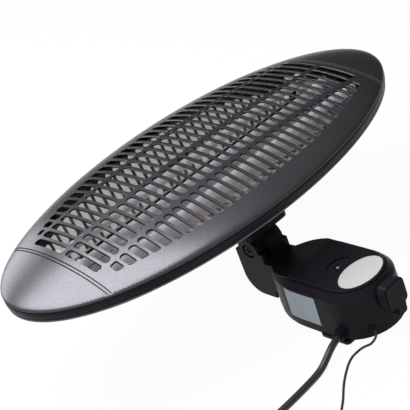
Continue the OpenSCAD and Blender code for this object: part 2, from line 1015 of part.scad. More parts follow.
module slots() {
    lower_rib = -rib_pitch - rib_rise;
    upper_rib = rib_pitch - rib_rise;
    for (i = [0 : slot_columns - 1])
        let (x = (i - (slot_columns - 1) / 2) * slot_pitch) {
            inner_slot(x, lower_rib + rib_w / 2, -rib_rise - rib_w / 2);
            inner_slot(x, -rib_rise + rib_w / 2, upper_rib - rib_w / 2);
            for (side = [-1, 1]) {
                rib_y = side * rib_pitch - rib_rise + side * rib_w / 2;
                if (side * (field_edge(x, side) - rib_y) > shortest_slot)
                    outer_slot(x, rib_y, side);
            }
        }
}

module cover_posts() {
    for (s = [-1, 1])
        translate([s * post_x, 0, rear_floor_z])
            cylinder(r = post_r, h = dome_h - rear_floor_z, $fn = 16);
}

module front_cover() {
    color("silver")
        in_head()
            difference() {
                union() {
                    difference() {
                        dome_solid(rim_a, rim_b, dome_h, band_h, 8, 56);
                        dome_solid(
                            rim_a - cover_t,
                            rim_b - cover_t,
                            dome_h - cover_t,
                            band_h + cut,
                            4,
                            28
                        );
                    }
                    intersection() {
                        cover_posts();
                        dome_solid(rim_a - 1, rim_b - 1, dome_h - 1, -rear_floor_z, 4, 28);
                    }
                }
                linear_extrude(dome_h + cut)
                    slots();
                for (s = [-1, 1])
                    translate([s * post_x, 0, rear_floor_z - cut])
                        cylinder(r = screw_r + pilot_fit, h = cover_screw_len, $fn = 16);
            }
}

module rear_pan(inset, top_z, bottom_z) {
    a = rim_a - inset;
    b = rim_b - inset;
    drop = rear_inset - pan_inset;
    hull() {
        slab(ellipse_points(a - pan_inset, b - pan_inset, 64), top_z);
        slab(ellipse_points(a - pan_inset - drop, b - pan_inset - drop, 64), bottom_z);
    }
}

module rear_cover() {
    color("#6d7482")
        in_head()
            difference() {
                union() {
                    translate([0, 0, -band_h - lip_t])
                        linear_extrude(lip_t)
                            polygon(ellipse_points(rim_a - lip_inset, rim_b - lip_inset, 64));
                    rear_pan(0, -band_h - lip_t, rear_z);
                    for (x = [-1, 1], y = [-1, 1])
                        translate([x * reflector_screw_x, y * reflector_screw_y, rear_z + rear_t / 2])
                            cylinder(r = spacer_r, h = -reflector_depth - rear_z - rear_t / 2);
                }
                difference() {
                    union() {
                        rear_pan(rear_t, -band_h - lip_t, rear_floor_z);
                        translate([0, 0, -band_h - lip_t - 0.005])
                            linear_extrude(lip_t + cut)
                                polygon(ellipse_points(
                                    rim_a - pan_inset - rear_t,
                                    rim_b - pan_inset - rear_t,
                                    64
                                ));
                    }
                    for (x = [-1, 1], y = [-1, 1])
                        translate([x * reflector_screw_x, y * reflector_screw_y, rear_z])
                            cylinder(r = spacer_r, h = -reflector_depth - rear_z);
                }
                for (s = [-1, 1])
                    translate([s * post_x, 0, rear_z - cut])
                        cylinder(r = screw_r + pilot_fit, h = rear_t + 2 * cut);
                at_reflector_screws()
                    translate([0, 0, rear_z - cut])
                        cylinder(r = screw_r + pilot_fit, h = -rear_z);
                at_bracket_screws()
                    translate([0, 0, rear_z - cut])
                        cylinder(r = bracket_bolt_r + pilot_fit, h = rear_t + 2 * cut);
            }
}

module at_reflector_screws() {
    for (x = [-1, 1], y = [-1, 1])
        translate([x * reflector_screw_x, y * reflector_screw_y, 0])
            children();
}

module at_bracket_screws() {
    for (x = [-1, 1], y = [-1, 1])
        translate([x * bracket_bolt_x, y * bracket_bolt_y - head_rise, 0])
            children();
}

// Section of the reflector across its length, as an open trough
function reflector_section(t) =
    let (
        f = reflector_floor / 2,
        w = reflector_wid / 2,
        top = reflector_top,
        slope = atan2(top + reflector_depth, w - f),
        edge = t / sin(slope),
        fold = t * tan(slope / 2)
    )
    [
        [-w, top], [-w + edge, top], [-f + fold, -reflector_depth + t],
        [f - fold, -reflector_depth + t], [w - edge, top], [w, top],
        [f, -reflector_depth], [-f, -reflector_depth]
    ];

module reflector() {
    color("#b5aba0")
        in_head()
            difference() {
                intersection() {
                    along_x(-reflector_len / 2, reflector_len / 2)
                        polygon(reflector_section(sheet_t));
                    translate([0, 0, -reflector_depth - cut])
                        linear_extrude(reflector_depth + reflector_top + 2 * cut)
                            polygon([
                                [-reflector_len / 2, -reflector_end / 2],
                                [-reflector_len / 2 + reflector_corner, -reflector_wid / 2],
                                [reflector_len / 2 - reflector_corner, -reflector_wid / 2],
                                [reflector_len / 2, -reflector_end / 2],
                                [reflector_len / 2, reflector_end / 2],
                                [reflector_len / 2 - reflector_corner, reflector_wid / 2],
                                [-reflector_len / 2 + reflector_corner, reflector_wid / 2],
                                [-reflector_len / 2, reflector_end / 2]
                            ]);
                }
                at_reflector_screws()
                    translate([0, 0, -reflector_depth - cut])
                        cylinder(r = screw_r + pilot_fit, h = sheet_t + 2 * cut);
            }
}

// Bracket that carries the tube ends, standing on the reflector's floor
module tube_holder(side) {
    flange_x = side > 0 ? holder_x - holder_flange : -holder_x;
    color("#7d8794")
        in_head()
            difference() {
                union() {
                    translate([side * holder_x - sheet_t / 2, -holder_wid / 2, holder_shoulder])
                        cube([sheet_t, holder_wid, holder_top - holder_shoulder]);
                    translate([side * holder_x - sheet_t / 2, -foot_wid / 2, holder_foot])
                        cube([sheet_t, foot_wid, holder_shoulder + cut - holder_foot]);
                    translate([flange_x, -foot_wid / 2, holder_foot])
                        cube([holder_flange, foot_wid, sheet_t]);
                }
                for (i = [-1 : 1])
                    translate([0, i * tube_pitch, -tube_depth])
                        rod_x(side * holder_x - cut, side * holder_x + cut, cap_d / 2 - 1);
            }
}

module tube_holder_left() {
    tube_holder(-1);
}

module tube_holder_right() {
    tube_holder(1);
}

module quartz_tube(i) {
    color("#d8d8d6")
        in_head()
            translate([0, i * tube_pitch, -tube_depth])
                difference() {
                    rod_x(-tube_len / 2, tube_len / 2, tube_d / 2);
                    rod_x(-tube_len / 2 - cut, tube_len / 2 + cut, tube_bore / 2);
                }
}

module quartz_tube_1() {
    quartz_tube(1);
}

module quartz_tube_2() {
    quartz_tube(0);
}

module quartz_tube_3() {
    quartz_tube(-1);
}

module heating_coil(i) {
    color("#8a7f76")
        in_head()
            translate([0, i * tube_pitch, -tube_depth])
                rod_x(-tube_len / 2 - 2, tube_len / 2 + 2, coil_d / 2);
}

module heating_coil_1() {
    heating_coil(1);
}

module heating_coil_2() {
    heating_coil(0);
}

module heating_coil_3() {
    heating_coil(-1);
}

// Ceramic cups over the tube ends, turned down where they pass through the holder
module ceramic_caps(side) {
    color("#e9e6df")
        in_head()
            for (i = [-1 : 1])
                translate([side * holder_x, i * tube_pitch, -tube_depth])
                    rotate([0, side * 90, 0])
                        difference() {
                            union() {
                                translate([0, 0, -cap_len / 2 - 2])
                                    cylinder(r = cap_d / 2 - 1 - seat, h = cap_len + 4);
                                translate([0, 0, sheet_t / 2])
                                    cylinder(r = cap_d / 2, h = cap_len / 2 + 2);
                            }
                            translate([0, 0, -cap_len])
                                cylinder(r = tube_d / 2 + press_fit, h = cap_len + cap_len / 2);
                            translate([0, 0, -cap_len])
                                cylinder(r = coil_d / 2 + press_fit, h = 2 * cap_len + cut);
                        }
}

module ceramic_caps_left() {
    ceramic_caps(-1);
}

module ceramic_caps_right() {
    ceramic_caps(1);
}

module head_terminal() {
    color("ivory")
        in_head()
            translate([reflector_len / 2 + 1.5, post_r + 2, rear_floor_z])
                difference() {
                    cube(terminal);
                    for (i = [0 : 2])
                        translate([terminal[0] / 2, terminal[1] * (i + 0.5) / 3, 3])
                            cylinder(r = 1.8, h = terminal[2]);
                }
}

module head_bracket() {
    color("#17161a")
        in_head()
            translate([0, -head_rise, 0])
                difference() {
                    union() {
                        translate([0, 0, block_z])
                            linear_extrude(rear_z - block_z)
                                rounded_rect(block_w, block_h, block_corner_r);
                        translate([-knuckle_half, -neck_half, -head_stand + 4])
                            cube([2 * knuckle_half, 2 * neck_half, head_stand + block_z - 3]);
                        translate([0, 0, -head_stand]) {
                            rod_x(drum_start, knuckle_half, drum_r);
                            rod_x(-knuckle_half, drum_start, neck_half);
                        }
                    }
                    translate([0, 0, -head_stand])
                        rod_x(-block_w, block_w, bolt_r + bolt_fit);
                    for (x = [-1, 1], y = [-1, 1])
                        translate([
                            x * bracket_bolt_x,
                            y * bracket_bolt_y,
                            rear_z - bracket_bolt_len
                        ])
                            cylinder(r = bracket_bolt_r + pilot_fit, h = bracket_bolt_len + cut);
                }
}

module cover_screws() {
    color("silver")
        in_head()
            for (s = [-1, 1])
                translate([s * post_x, 0, 0]) {
                    translate([0, 0, rear_z - screw_head_t])
                        cylinder(r = screw_head_r, h = screw_head_t);
                    translate([0, 0, rear_z - screw_head_t])
                        cylinder(r = screw_r, h = cover_screw_len);
                }
}

module reflector_screws() {
    color("silver")
        in_head()
            at_reflector_screws() {
                translate([0, 0, -reflector_depth + sheet_t])
                    cylinder(r = screw_head_r, h = screw_head_t);
                translate([0, 0, rear_z + 0.3])
                    cylinder(r = screw_r, h = -reflector_depth - rear_z + sheet_t);
            }
}

module bracket_screws() {
    color("silver")
        in_head()
            at_bracket_screws() {
                translate([0, 0, rear_floor_z])
                    cylinder(r = bracket_head_r, h = bracket_head_t);
                translate([0, 0, rear_z + 2 - bracket_bolt_len])
                    cylinder(r = bracket_bolt_r, h = bracket_bolt_len);
            }
}

// Knob

module knob_face(inset) {
    rounded_rect(knob_w - 2 * inset, knob_w - 2 * inset, knob_corner_r - inset);
    translate([(pointer_left + pointer_right) / 2, -pointer_len / 2])
        rounded_rect(pointer_right - pointer_left - 2 * inset, pointer_len - 2 * inset, 4 - inset);
}

module selector_knob() {
    color("#1c1b20")
        translate([0, 0, knob_z])
            difference() {
                union() {
                    along_minus_y(knob_y, knob_depth - knob_bevel)
                        knob_face(0);
                    along_minus_y(knob_y - knob_depth + knob_bevel + 0.01, knob_bevel / 2)
                        knob_face(0.6);
                    along_minus_y(knob_y - knob_depth + knob_bevel + 0.01, knob_bevel)
                        knob_face(1.2);
                }
                along_minus_y(knob_y + cut, knob_depth - 3 + cut)
                    circle(r = spindle_r + press_fit);
            }
}

module knob_spindle() {
    color("silver")
        translate([0, switch_front + spindle_in - 0.5, knob_z])
            rotate([90, 0, 0])
                cylinder(
                    r = spindle_r,
                    h = switch_front + spindle_in - 0.5 - knob_y + knob_depth - 3.5
                );
}

// Pull cord

module pull_anchor() {
    color("#d8d2c4")
        from_end(pull_angle, pull_z, anchor_start)
            difference() {
                cylinder(r = anchor_r, h = anchor_len);
                translate([0, 0, anchor_len - 5])
                    cylinder(r = pull_r + press_fit, h = 6);
            }
}

module pull_cord() {
    color("#202024")
        swept_tube(concat(cord_inside, spline(pull_route, 2)), pull_r, 8);
}

module pull_cord_coil() {
    color("#202024")
        swept_tube(pull_coil_path, pull_r, 6);
}

module pull_cord_tie() {
    color("#222226")
        for (a = pull_tie_angles)
            tie(pull_coil_centre, pull_coil_out_r,
                pull_coil_out_r - pull_coil_pitch * pull_turns / 2, pull_r,
                pull_coil_z + pull_coil_pitch, pull_tie_w, pull_tie_head, a);
}

module pull_knob() {
    color("#1c1b20")
        translate([
            pull_coil_centre[0] - pull_coil_out_r,
            pull_coil_centre[1] - pull_d,
            pull_knob_r
        ])
            rotate([90, 0, 0])
                rotate_extrude()
                    polygon([
                        [0, 0],
                        [2, 0],
                        [2.6, 3],
                        [pull_knob_r, pull_knob_len - 7],
                        [pull_knob_r, pull_knob_len - 3],
                        [pull_knob_r - 2, pull_knob_len],
                        [0, pull_knob_len]
                    ]);
}

wall_plate();
base_plate();
housing();
lid();
badge_plate();
indicator_window();
indicator_lamp();
pivot_bolt();
pivot_nut();
rotary_switch();
pull_switch();
pull_bush();
terminal_block();
cable_gland();
mains_cable();
cable_coil();
cable_tie();
plug();
plug_pins();
base_screws();
plate_screws();
front_cover();
rear_cover();
reflector();
tube_holder_left();
tube_holder_right();
quartz_tube_1();
quartz_tube_2();
quartz_tube_3();
heating_coil_1();
heating_coil_2();
heating_coil_3();
ceramic_caps_left();
ceramic_caps_right();
head_terminal();
head_bracket();
cover_screws();
reflector_screws();
bracket_screws();
selector_knob();
knob_spindle();
pull_cord();
pull_cord_coil();
pull_cord_tie();
pull_knob();
pull_anchor();
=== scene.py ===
import math
import bpy
from mathutils import Matrix, Vector
from mathutils.geometry import convex_hull_2d, delaunay_2d_cdt


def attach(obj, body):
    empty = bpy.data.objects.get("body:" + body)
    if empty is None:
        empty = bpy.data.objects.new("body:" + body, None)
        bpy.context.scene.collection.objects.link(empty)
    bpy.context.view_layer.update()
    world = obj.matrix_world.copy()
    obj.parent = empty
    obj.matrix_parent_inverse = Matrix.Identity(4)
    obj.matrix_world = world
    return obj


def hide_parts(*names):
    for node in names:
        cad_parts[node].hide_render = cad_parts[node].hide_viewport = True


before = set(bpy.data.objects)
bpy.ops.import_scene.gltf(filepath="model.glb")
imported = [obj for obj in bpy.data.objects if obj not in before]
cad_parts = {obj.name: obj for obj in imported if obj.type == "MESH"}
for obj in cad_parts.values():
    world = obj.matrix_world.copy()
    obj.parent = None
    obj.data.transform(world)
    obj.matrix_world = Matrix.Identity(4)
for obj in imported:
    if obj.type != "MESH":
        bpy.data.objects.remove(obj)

bl_info = {
    "name": "Wall quartz heater",
    "version": (1, 0, 0),
    "blender": (4, 5, 0),
    "location": "View3D > Sidebar > Heater",
    "description": "Dresses the packed wall heater: grille, tubes, box, cords and stage",
    "category": "Object",
}

MM = 0.001

# The head's frame: its rim's middle, tilted about the hinge
HINGE = (0, 0.112, 0.0527)
HEAD_TILT = math.radians(3)
HEAD = (
    Matrix.Translation(HINGE)
    @ Matrix.Rotation(HEAD_TILT, 4, "X")
    @ Matrix.Translation((0, 0.050, 0.0745))
)

# Where the photograph was taken from
CAMERA_PLACE = (-0.5069, -0.63475, 0.58227)
CAMERA_AXES = (
    (0.700414, 0.539078, -0.467777),
    (-0.635566, 0.172855, -0.752447),
    (-0.32477, 0.824328, 0.46369),
)
CAMERA_LENS = 97.2857
CAMERA_SENSOR = 36.0
CAMERA_CLIP = (0.01, 50.0)

# The cords' points, in metres, as in the part's source
LEAD_ROUTE = (
    (-0.046, -0.0135, 0.012), (-0.052, -0.015, 0.012), (-0.060, -0.0168, 0.0106),
    (-0.068, -0.0182, 0.0075), (-0.076, -0.0193, 0.0046), (-0.084, -0.0202, 0.0035),
    (-0.094, -0.021, 0.0033), (-0.104, -0.0216, 0.0033), (-0.114, -0.022, 0.0033),
    (-0.124, -0.0222, 0.0033), (-0.134, -0.0222, 0.0033), (-0.144, -0.022, 0.0033),
    (-0.154, -0.0217, 0.0033), (-0.164, -0.0214, 0.0034), (-0.174, -0.0212, 0.0037),
    (-0.184, -0.021, 0.0041), (-0.1935, -0.021, 0.0042),
)
PULL_EXIT = (-0.023, -0.036, 0.010)
PULL_ROUTE = (
    (-0.0191, -0.0303, 0.010), (-0.0215, -0.0339, 0.010),
    PULL_EXIT, (-0.0252, -0.0393, 0.0099), (-0.0279, -0.041, 0.0091),
    (-0.031, -0.041, 0.0076), (-0.0341, -0.0389, 0.0053), (-0.036, -0.0354, 0.0037),
    (-0.0388, -0.0326, 0.0025), (-0.0422, -0.0312, 0.0017), (-0.046, -0.0307, 0.0013),
    (-0.0498, -0.0309, 0.0012), (-0.054, -0.032, 0.0012), (-0.0584, -0.0338, 0.0012),
    (-0.064, -0.0368, 0.0012), (-0.070, -0.0404, 0.0012), (-0.0764, -0.0446, 0.0012),
    (-0.083, -0.0495, 0.0012), (-0.0885, -0.054, 0.0012), (-0.094, -0.0586, 0.0012),
    (-0.100, -0.063, 0.0012), (-0.106, -0.067, 0.0012), (-0.112, -0.0706, 0.0013),
    (-0.1185, -0.0736, 0.0017), (-0.1258, -0.075, 0.002),
)
# The coils, with the cord's diameter d, the first turn's height z0 and the end's, end_z
LEAD_COIL = {"turns": 7.25, "centre": (-0.200, -0.071), "out_r": 0.050, "pitch": 0.007,
             "z0": 0.0042, "end_z": 0.013, "d": 0.0065}
PULL_COIL = {"turns": 4.25, "centre": (-0.128, -0.090), "out_r": 0.015, "pitch": 0.0027,
             "z0": 0.002, "end_z": 0.006, "d": 0.0022}
ROUTE_STEPS = 4
TURN_POINTS = 48
CLIMB_TURNS = 0.5

# The cable ties: places round the coil in degrees, play in metres, and thickness and
# corner radius in millimetres
TIE_ANGLES = (20, 250)
TIE_PLAY = 0.00015
TIE_THICK = 0.8
TIE_CORNER = 1.6
TIE_CORNER_STEPS = 5

# The sections of the moulded plug and of the pull knob, each (half width, half depth,
# height), in millimetres
PLUG_FORM = (
    (4.0, 4.0, 0), (4.1, 4.1, 1.0), (5.2, 5.2, 27.0), (6.6, 6.6, 28.0), (8.4, 7.9, 30.5),
    (11.6, 10.0, 33.5), (15.0, 11.6, 36.5), (17.1, 12.6, 39.0), (17.9, 12.95, 41.0),
    (18.0, 13.0, 47.0), (18.0, 13.0, 54.5), (17.7, 12.7, 56.6), (17.0, 12.0, 57.6),
    (15.8, 10.8, 58.0),
)
PULL_KNOB_FORM = (
    (1.4, 1.4, 0), (1.9, 1.9, 0.3), (2.6, 2.6, 3), (3.6, 3.6, 7), (5.0, 5.0, 11.5),
    (5.8, 5.8, 14.6), (6, 6, 16.5), (6, 6, 18.4), (5.6, 5.6, 20), (4.9, 4.9, 21.2),
    (4.0, 4.0, 22),
)
MOULDED_SIDES = 48

# How finely the domed front is divided: shares are of the oval, lengths are in metres
RIM_SHARE = 0.9965
RIM_POINTS = 288
RING_SHARES = (0.99, 0.98, 0.965, 0.945, 0.92)
CORNER_POINTS = 24
SLOT_EDGE_STEP = 0.006
GRID_STEP = 0.0055
GRID_FLATTEN = 0.87
GRID_ROWS = 24
GRID_COLUMNS = 44
GRID_SHARE = 0.90
GRILLE_REACH = 0.1715
GRILLE_MARGIN = 0.003
FILL_INSIDE = 1
SAME_POINT = 1e-7

# The end grooves: their division, where they end and fade out, as shares of the oval, and
# the part of their width that is their flat floor
GROOVE_ROWS = 60
GROOVE_CLEAR = 0.0016
GROOVE_END_SHARE = 0.992
GROOVE_FADE_SHARE = 0.991
GROOVE_FADE = 0.002
GROOVE_FLOOR = 0.44

# The front's inside, which draws in towards its rim, and its screw posts
INSIDE_FROM_SHARE = 0.90
INSIDE_LIFT = 0.0011
SLOT_ROUND_DROP = 1.2
POST_PLACE = 0.188
POST_RADIUS = 0.005
POST_TOP = 0.0075
POST_BOTTOM = -0.0285
POST_SIDES = 20

# The rear pan's section: (inset from the oval, height), in millimetres
REAR_PAN_FORM = (
    (33, -28.5), (30.5, -28.3), (29.2, -27.6), (7.2, -13.2), (5.8, -11.6), (5.5, -10.1),
    (5.3, -10.0), (1.0, -10.0), (0.8, -10.2), (0.8, -11.3), (1.0, -11.5), (3.6, -11.5),
    (4.2, -11.9), (5.2, -12.8), (27.4, -28.1), (28.9, -29.1), (30.6, -29.8), (33, -30),
)
REAR_PAN_SIDES = 160
REAR_FACE = -0.030

# A pan-head screw's head: (share of its radius, share of its height), and its recess
SCREW_HEAD_FORM = (
    (0.97, 0.0), (1.0, 0.10), (1.0, 0.35), (0.95, 0.62), (0.82, 0.86), (0.68, 1.0),
)
SCREW_SIDES = 40
CROSS_ARM = 0.52
CROSS_THIN = 0.13
CROSS_FLARE = 1.04
CROSS_TAPER = 0.82
CROSS_FLOOR = 0.35

# Where the pivot bolt's head rests on the arm's outer cheek
BOLT_SEAT = -0.01425

# Points in one turn of heating wire and round the wire
WIRE_TURN_POINTS = 10
WIRE_SIDES = 5

# The box's drafted side wall and the label on it, in millimetres
SIDE_WALL = {"half_width": 38.5, "low": 10.6, "high": 42.5, "draft": 1.2, "round_from": 35,
             "round_reach": 57}
LABEL_LOW, LABEL_HEIGHT, LABEL_ROWS = 12.0, 29.0, 6
LABEL_NEAR, LABEL_LENGTH, LABEL_COLUMNS = 12.0, 39.0, 14
LABEL_LIFTS = (0.02, 0.14)

# The floor, and how the room's light changes along a leaning direction
FLOOR_REACH = 12.0
FLOOR_HEIGHT = -0.0002
FLOOR_SEEN_WHITE = 0.95
ROOM_LEAN = (0.8, 0.0, -1.0)
ROOM_DARK_AT = 0.25
ROOM_LIGHT_AT = -1.1


# Settings

def amount(name, text, value, low=0.0, high=1.0, **kind):
    """A number in a settings group; kind gives its subtype and unit."""
    return bpy.props.FloatProperty(
        name=name, description=text, default=value, min=low, max=high, **kind)


def length(name, text, value):
    """A length in a settings group, in metres."""
    return amount(name, text, value, subtype="DISTANCE", unit="LENGTH", precision=5)


def power(name, text, value):
    """A lamp's power in a settings group, in watts."""
    return amount(name, text, value, high=1000.0, subtype="POWER", unit="POWER")


def colour(name, text, value):
    """A colour in a settings group."""
    return bpy.props.FloatVectorProperty(
        name=name, description=text, default=value, size=3, min=0.0, max=1.0, subtype="COLOR")


class HeadSettings(bpy.types.PropertyGroup):
    long_radius: length("Half length", "From the oval head's middle to its tip", 0.230)
    short_radius: length("Half width", "From the oval head's middle to its side", 0.1185)
    dome_height: length("Dome height", "Height of the front above its rim", 0.02597)
    dome_power: amount("Dome roundness", "Lower is boxier", 0.72, 0.4)
    band_height: length("Band height", "Depth of the side band below the rim", 0.010)
    wall: length("Wall", "Thickness of the cover", 0.002)
    slot_width: length("Slot width", "Width of a grille slot", 0.0074)
    slot_pitch: length("Slot spacing", "Spacing of the slot columns", 0.01067)
    slot_columns: bpy.props.IntProperty(
        name="Slot columns", description="Columns of slots", default=32, min=4, max=40)
    rib_pitch: length("Rib spacing", "Spacing of the cross ribs", 0.051)
    rib_width: length("Rib width", "Width of a cross rib", 0.0046)
    field_long: length("Field half length", "Half length of the slotted field", 0.208)
    field_short: length("Field half width", "Half width of the slotted field", 0.092)
    field_drop: length("Field drop", "Distance of the field below the head's middle", 0.005)
    corner_radius: length("Slot corner", "Corner radius of the cut outer slots", 0.0022)
    shortest_slot: length("Shortest slot", "Least length of an outer slot", 0.0055)
    slot_depth: length("Slot wall", "Visible depth of a slot's wall", 0.0018)
    slot_round: length("Slot edge", "Rounding along a slot's edge", 0.0003)
    groove_place: length("Groove place", "Distance of the end grooves from the middle", 0.1774)
    groove_apart: length("Groove spacing", "Spacing of the two grooves", 0.0029)
    groove_width: length("Groove width", "Width of a groove", 0.0020)
    groove_depth: length("Groove depth", "Depth of a groove", 0.0010)
    paint: colour("Paint", "Metallic paint of the head", (0.110, 0.107, 0.119))
    band: colour("Band", "Dark side band", (0.0105, 0.0098, 0.0125))
    rear: colour("Rear", "Painted rear cover", (0.115, 0.142, 0.165))


class TubeSettings(bpy.types.PropertyGroup):
    spacing: length("Tube spacing", "Spacing of the quartz tubes", 0.034)
    depth: length("Tube depth", "Depth of the tubes' axes behind the rim", 0.008)
    reach: length("Coil reach", "Half length of a heating coil", 0.175)
    coil_radius: length("Coil radius", "Outer radius of a heating coil", 0.0025)
    coil_pitch: length("Coil pitch", "Distance between two turns", 0.0024)
    wire_radius: length("Wire radius", "Radius of the heating wire", 0.0003)
    quartz: colour("Quartz", "Frosted quartz", (0.60, 0.61, 0.64))
    sheet: colour("Reflector", "Polished sheet of the reflector", (0.88, 0.83, 0.825))


class BoxSettings(bpy.types.PropertyGroup):
    plastic: colour("Plastic", "Satin plastic of the control box", (0.0112, 0.0104, 0.0136))
    badge: colour("Badge", "Bare oval badge", (0.56, 0.56, 0.555))
    label: colour("Label", "Bare rating label", (0.29, 0.34, 0.395))
    edge: length("Edge", "Rounding of the moulded edges", 0.0007)


class CordSettings(bpy.types.PropertyGroup):
    lead_diameter: length("Lead", "Diameter of the mains lead", 0.0065)
    pull_diameter: length("Pull cord", "Diameter of the pull cord", 0.0022)
    sheath: colour("Sheath", "Sheath of the mains lead", (0.026, 0.024, 0.033))
    braid: colour("Braid", "Braid of the pull cord", (0.020, 0.019, 0.022))


class StageSettings(bpy.types.PropertyGroup):
    key_power: power("Key", "Power of the overhead softbox", 15.0)
    back_power: power("Back", "Power of the softbox beyond the head", 7.2)
    room_light: amount("Room, light side", "Strength of the room on the left", 0.6, high=10.0)
    room_dark: amount("Room, dark side", "Strength of the room on the right", 0.13, high=10.0)
    floor: colour("Floor", "Pale floor", (0.80, 0.80, 0.80))


# Mesh tools

def mm(*values):
    """Millimetres in metres."""
    return tuple(v * MM for v in values)


def ring(rx, ry, z, count):
    """Points round an ellipse at a height."""
    return [(rx * math.cos(math.tau * k / count), ry * math.sin(math.tau * k / count), z)
            for k in range(count)]


def eased(t):
    """A share from 0 to 1 that starts and ends gently."""
    t = min(max(t, 0.0), 1.0)
    return t * t * (3 - 2 * t)


def new_object(name, data, materials, place=None):
    """An object in the scene, its place kept in its mesh or curve."""
    if place is not None:
        data.transform(place)
    for material in materials:
        data.materials.append(material)
    piece = bpy.data.objects.new(name, data)
    bpy.context.scene.collection.objects.link(piece)
    return piece


def from_lists(name, points, faces, materials, place=None, sharp=35, kinds=None):
    """A mesh object from points and faces, smooth up to the given edge angle."""
    mesh = bpy.data.meshes.new(name)
    mesh.from_pydata([tuple(p) for p in points], [], faces)
    if kinds is not None:
        mesh.polygons.foreach_set("material_index", kinds)
    mesh.update()
    mesh.shade_smooth()
    mesh.set_sharp_from_angle(angle=math.radians(sharp))
    return new_object(name, mesh, materials, place)


def join_rings(rings):
    """Quads between consecutive closed rings of vertex numbers."""
    faces = []
    for low, high in zip(rings, rings[1:]):
        for i in range(len(low)):
            j = (i + 1) % len(low)
            faces.append((low[i], low[j], high[j], high[i]))
    return faces


def lofted(name, sections, materials, place=None, sharp=35):
    """A skin over sections of equal point count, capped at both ends."""
    count = len(sections[0])
    points = [p for section in sections for p in section]
    rings = [range(k * count, (k + 1) * count) for k in range(len(sections))]
    faces = [*join_rings(rings), tuple(reversed(rings[0])), tuple(rings[-1])]
    return from_lists(name, points, faces, materials, place, sharp)


def rounded(piece, width, segments=2, angle=35):
    """Rounds a piece's edges with a bevel that keeps flat faces flat."""
    bevel = piece.modifiers.new("rounding", "BEVEL")
    bevel.width = width
    bevel.segments = segments
    bevel.limit_method = "ANGLE"
    bevel.angle_limit = math.radians(angle)
    bevel.harden_normals = True
    bevel.use_clamp_overlap = True
    return piece


def smooth_curve(route):
    """Points of a smooth curve through a route."""
    route = [Vector(p) for p in route]
    points = []
    for i in range(len(route) - 1):
        a = route[max(i - 1, 0)]
        b = route[i]
        c = route[i + 1]
        d = route[min(i + 2, len(route) - 1)]
        for k in range(ROUTE_STEPS):
            t = k / ROUTE_STEPS
            points.append(0.5 * (
                2 * b + (c - a) * t + (2 * a - 5 * b + 4 * c - d) * t * t
                + (3 * b - a - 3 * c + d) * t ** 3))
    points.append(route[-1])
    return points


def coil_end(coil):
    """Where the cord leaves a put-away coil, just past its last turn."""
    cx, cy = coil["centre"]
    return Vector((cx - coil["out_r"], cy - coil["d"], coil["end_z"]))


def coil_points(coil):
    """A put-away coil: in on the lower layer, out again on the upper one."""
    turns, pitch, z0 = coil["turns"], coil["pitch"], coil["z0"]
    cx, cy = coil["centre"]
    points = []
    for i in range(1, int(TURN_POINTS * turns) + 1):
        u = i / TURN_POINTS
        r = coil["out_r"] - pitch * (turns / 2 - abs(u - turns / 2))
        a = math.radians(90 + 360 * u)
        z = z0 + pitch * eased((u - turns / 2 + CLIMB_TURNS / 2) / CLIMB_TURNS)
        z += (coil["end_z"] - z0 - pitch) * eased((u - turns + CLIMB_TURNS) / CLIMB_TURNS)
        points.append(Vector((cx + r * math.cos(a), cy + r * math.sin(a), z)))
    points.append(coil_end(coil))
    return points


def cord_curve(name, route, coil, diameter, material):
    """A round cord along its route and coil, as a curve of one open spline."""
    points = smooth_curve(route) + coil_points(coil)
    curve = bpy.data.curves.new(name, "CURVE")
    curve.dimensions = "3D"
    curve.bevel_depth = diameter / 2
    curve.bevel_resolution = 4
    curve.use_fill_caps = True
    spline = curve.splines.new("POLY")
    spline.points.add(len(points) - 1)
    for spot, p in zip(spline.points, points):
        spot.co = (*p, 1.0)
    spline.use_smooth = True
    return new_object(name, curve, [material])


def declare(piece, body, slot, *nodes):
    """Attaches a new piece to its body and hides the carried-over nodes that it stands for;
    slot is not used.
    """
    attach(piece, body)
    if nodes:
        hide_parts(*nodes)


# Node tools

FLOAT = "NodeSocketFloat"
COLOR = "NodeSocketColor"
GEOMETRY = "NodeSocketGeometry"


def node_group(name, kind, inputs, outputs):
    """A new node group with the named sockets, its nodes still to be added."""
    tree = bpy.data.node_groups.new(name, kind)
    for label, socket_type, value in inputs:
        socket = tree.interface.new_socket(label, in_out="INPUT", socket_type=socket_type)
        if value is not None:
            socket.default_value = value
    for label, socket_type in outputs:
        tree.interface.new_socket(label, in_out="OUTPUT", socket_type=socket_type)
    return tree, tree.nodes.new("NodeGroupInput"), tree.nodes.new("NodeGroupOutput")


def add_node(tree, kind, inputs=None, **settings):
    """A new node with the given settings and input values."""
    node = tree.nodes.new(kind)
    for name, value in settings.items():
        setattr(node, name, value)
    for name, value in (inputs or {}).items():
        node.inputs[name].default_value = value
    return node


def connect(tree, *wires):
    """Links nodes: each wire is a source, its output, a target and its input."""
    for source, output, target, socket in wires:
        tree.links.new(source.outputs[output], target.inputs[socket])


def built_once(build):
    """The node group that a function builds, made at its first use."""
    return bpy.data.node_groups.get(build.__name__) or build()


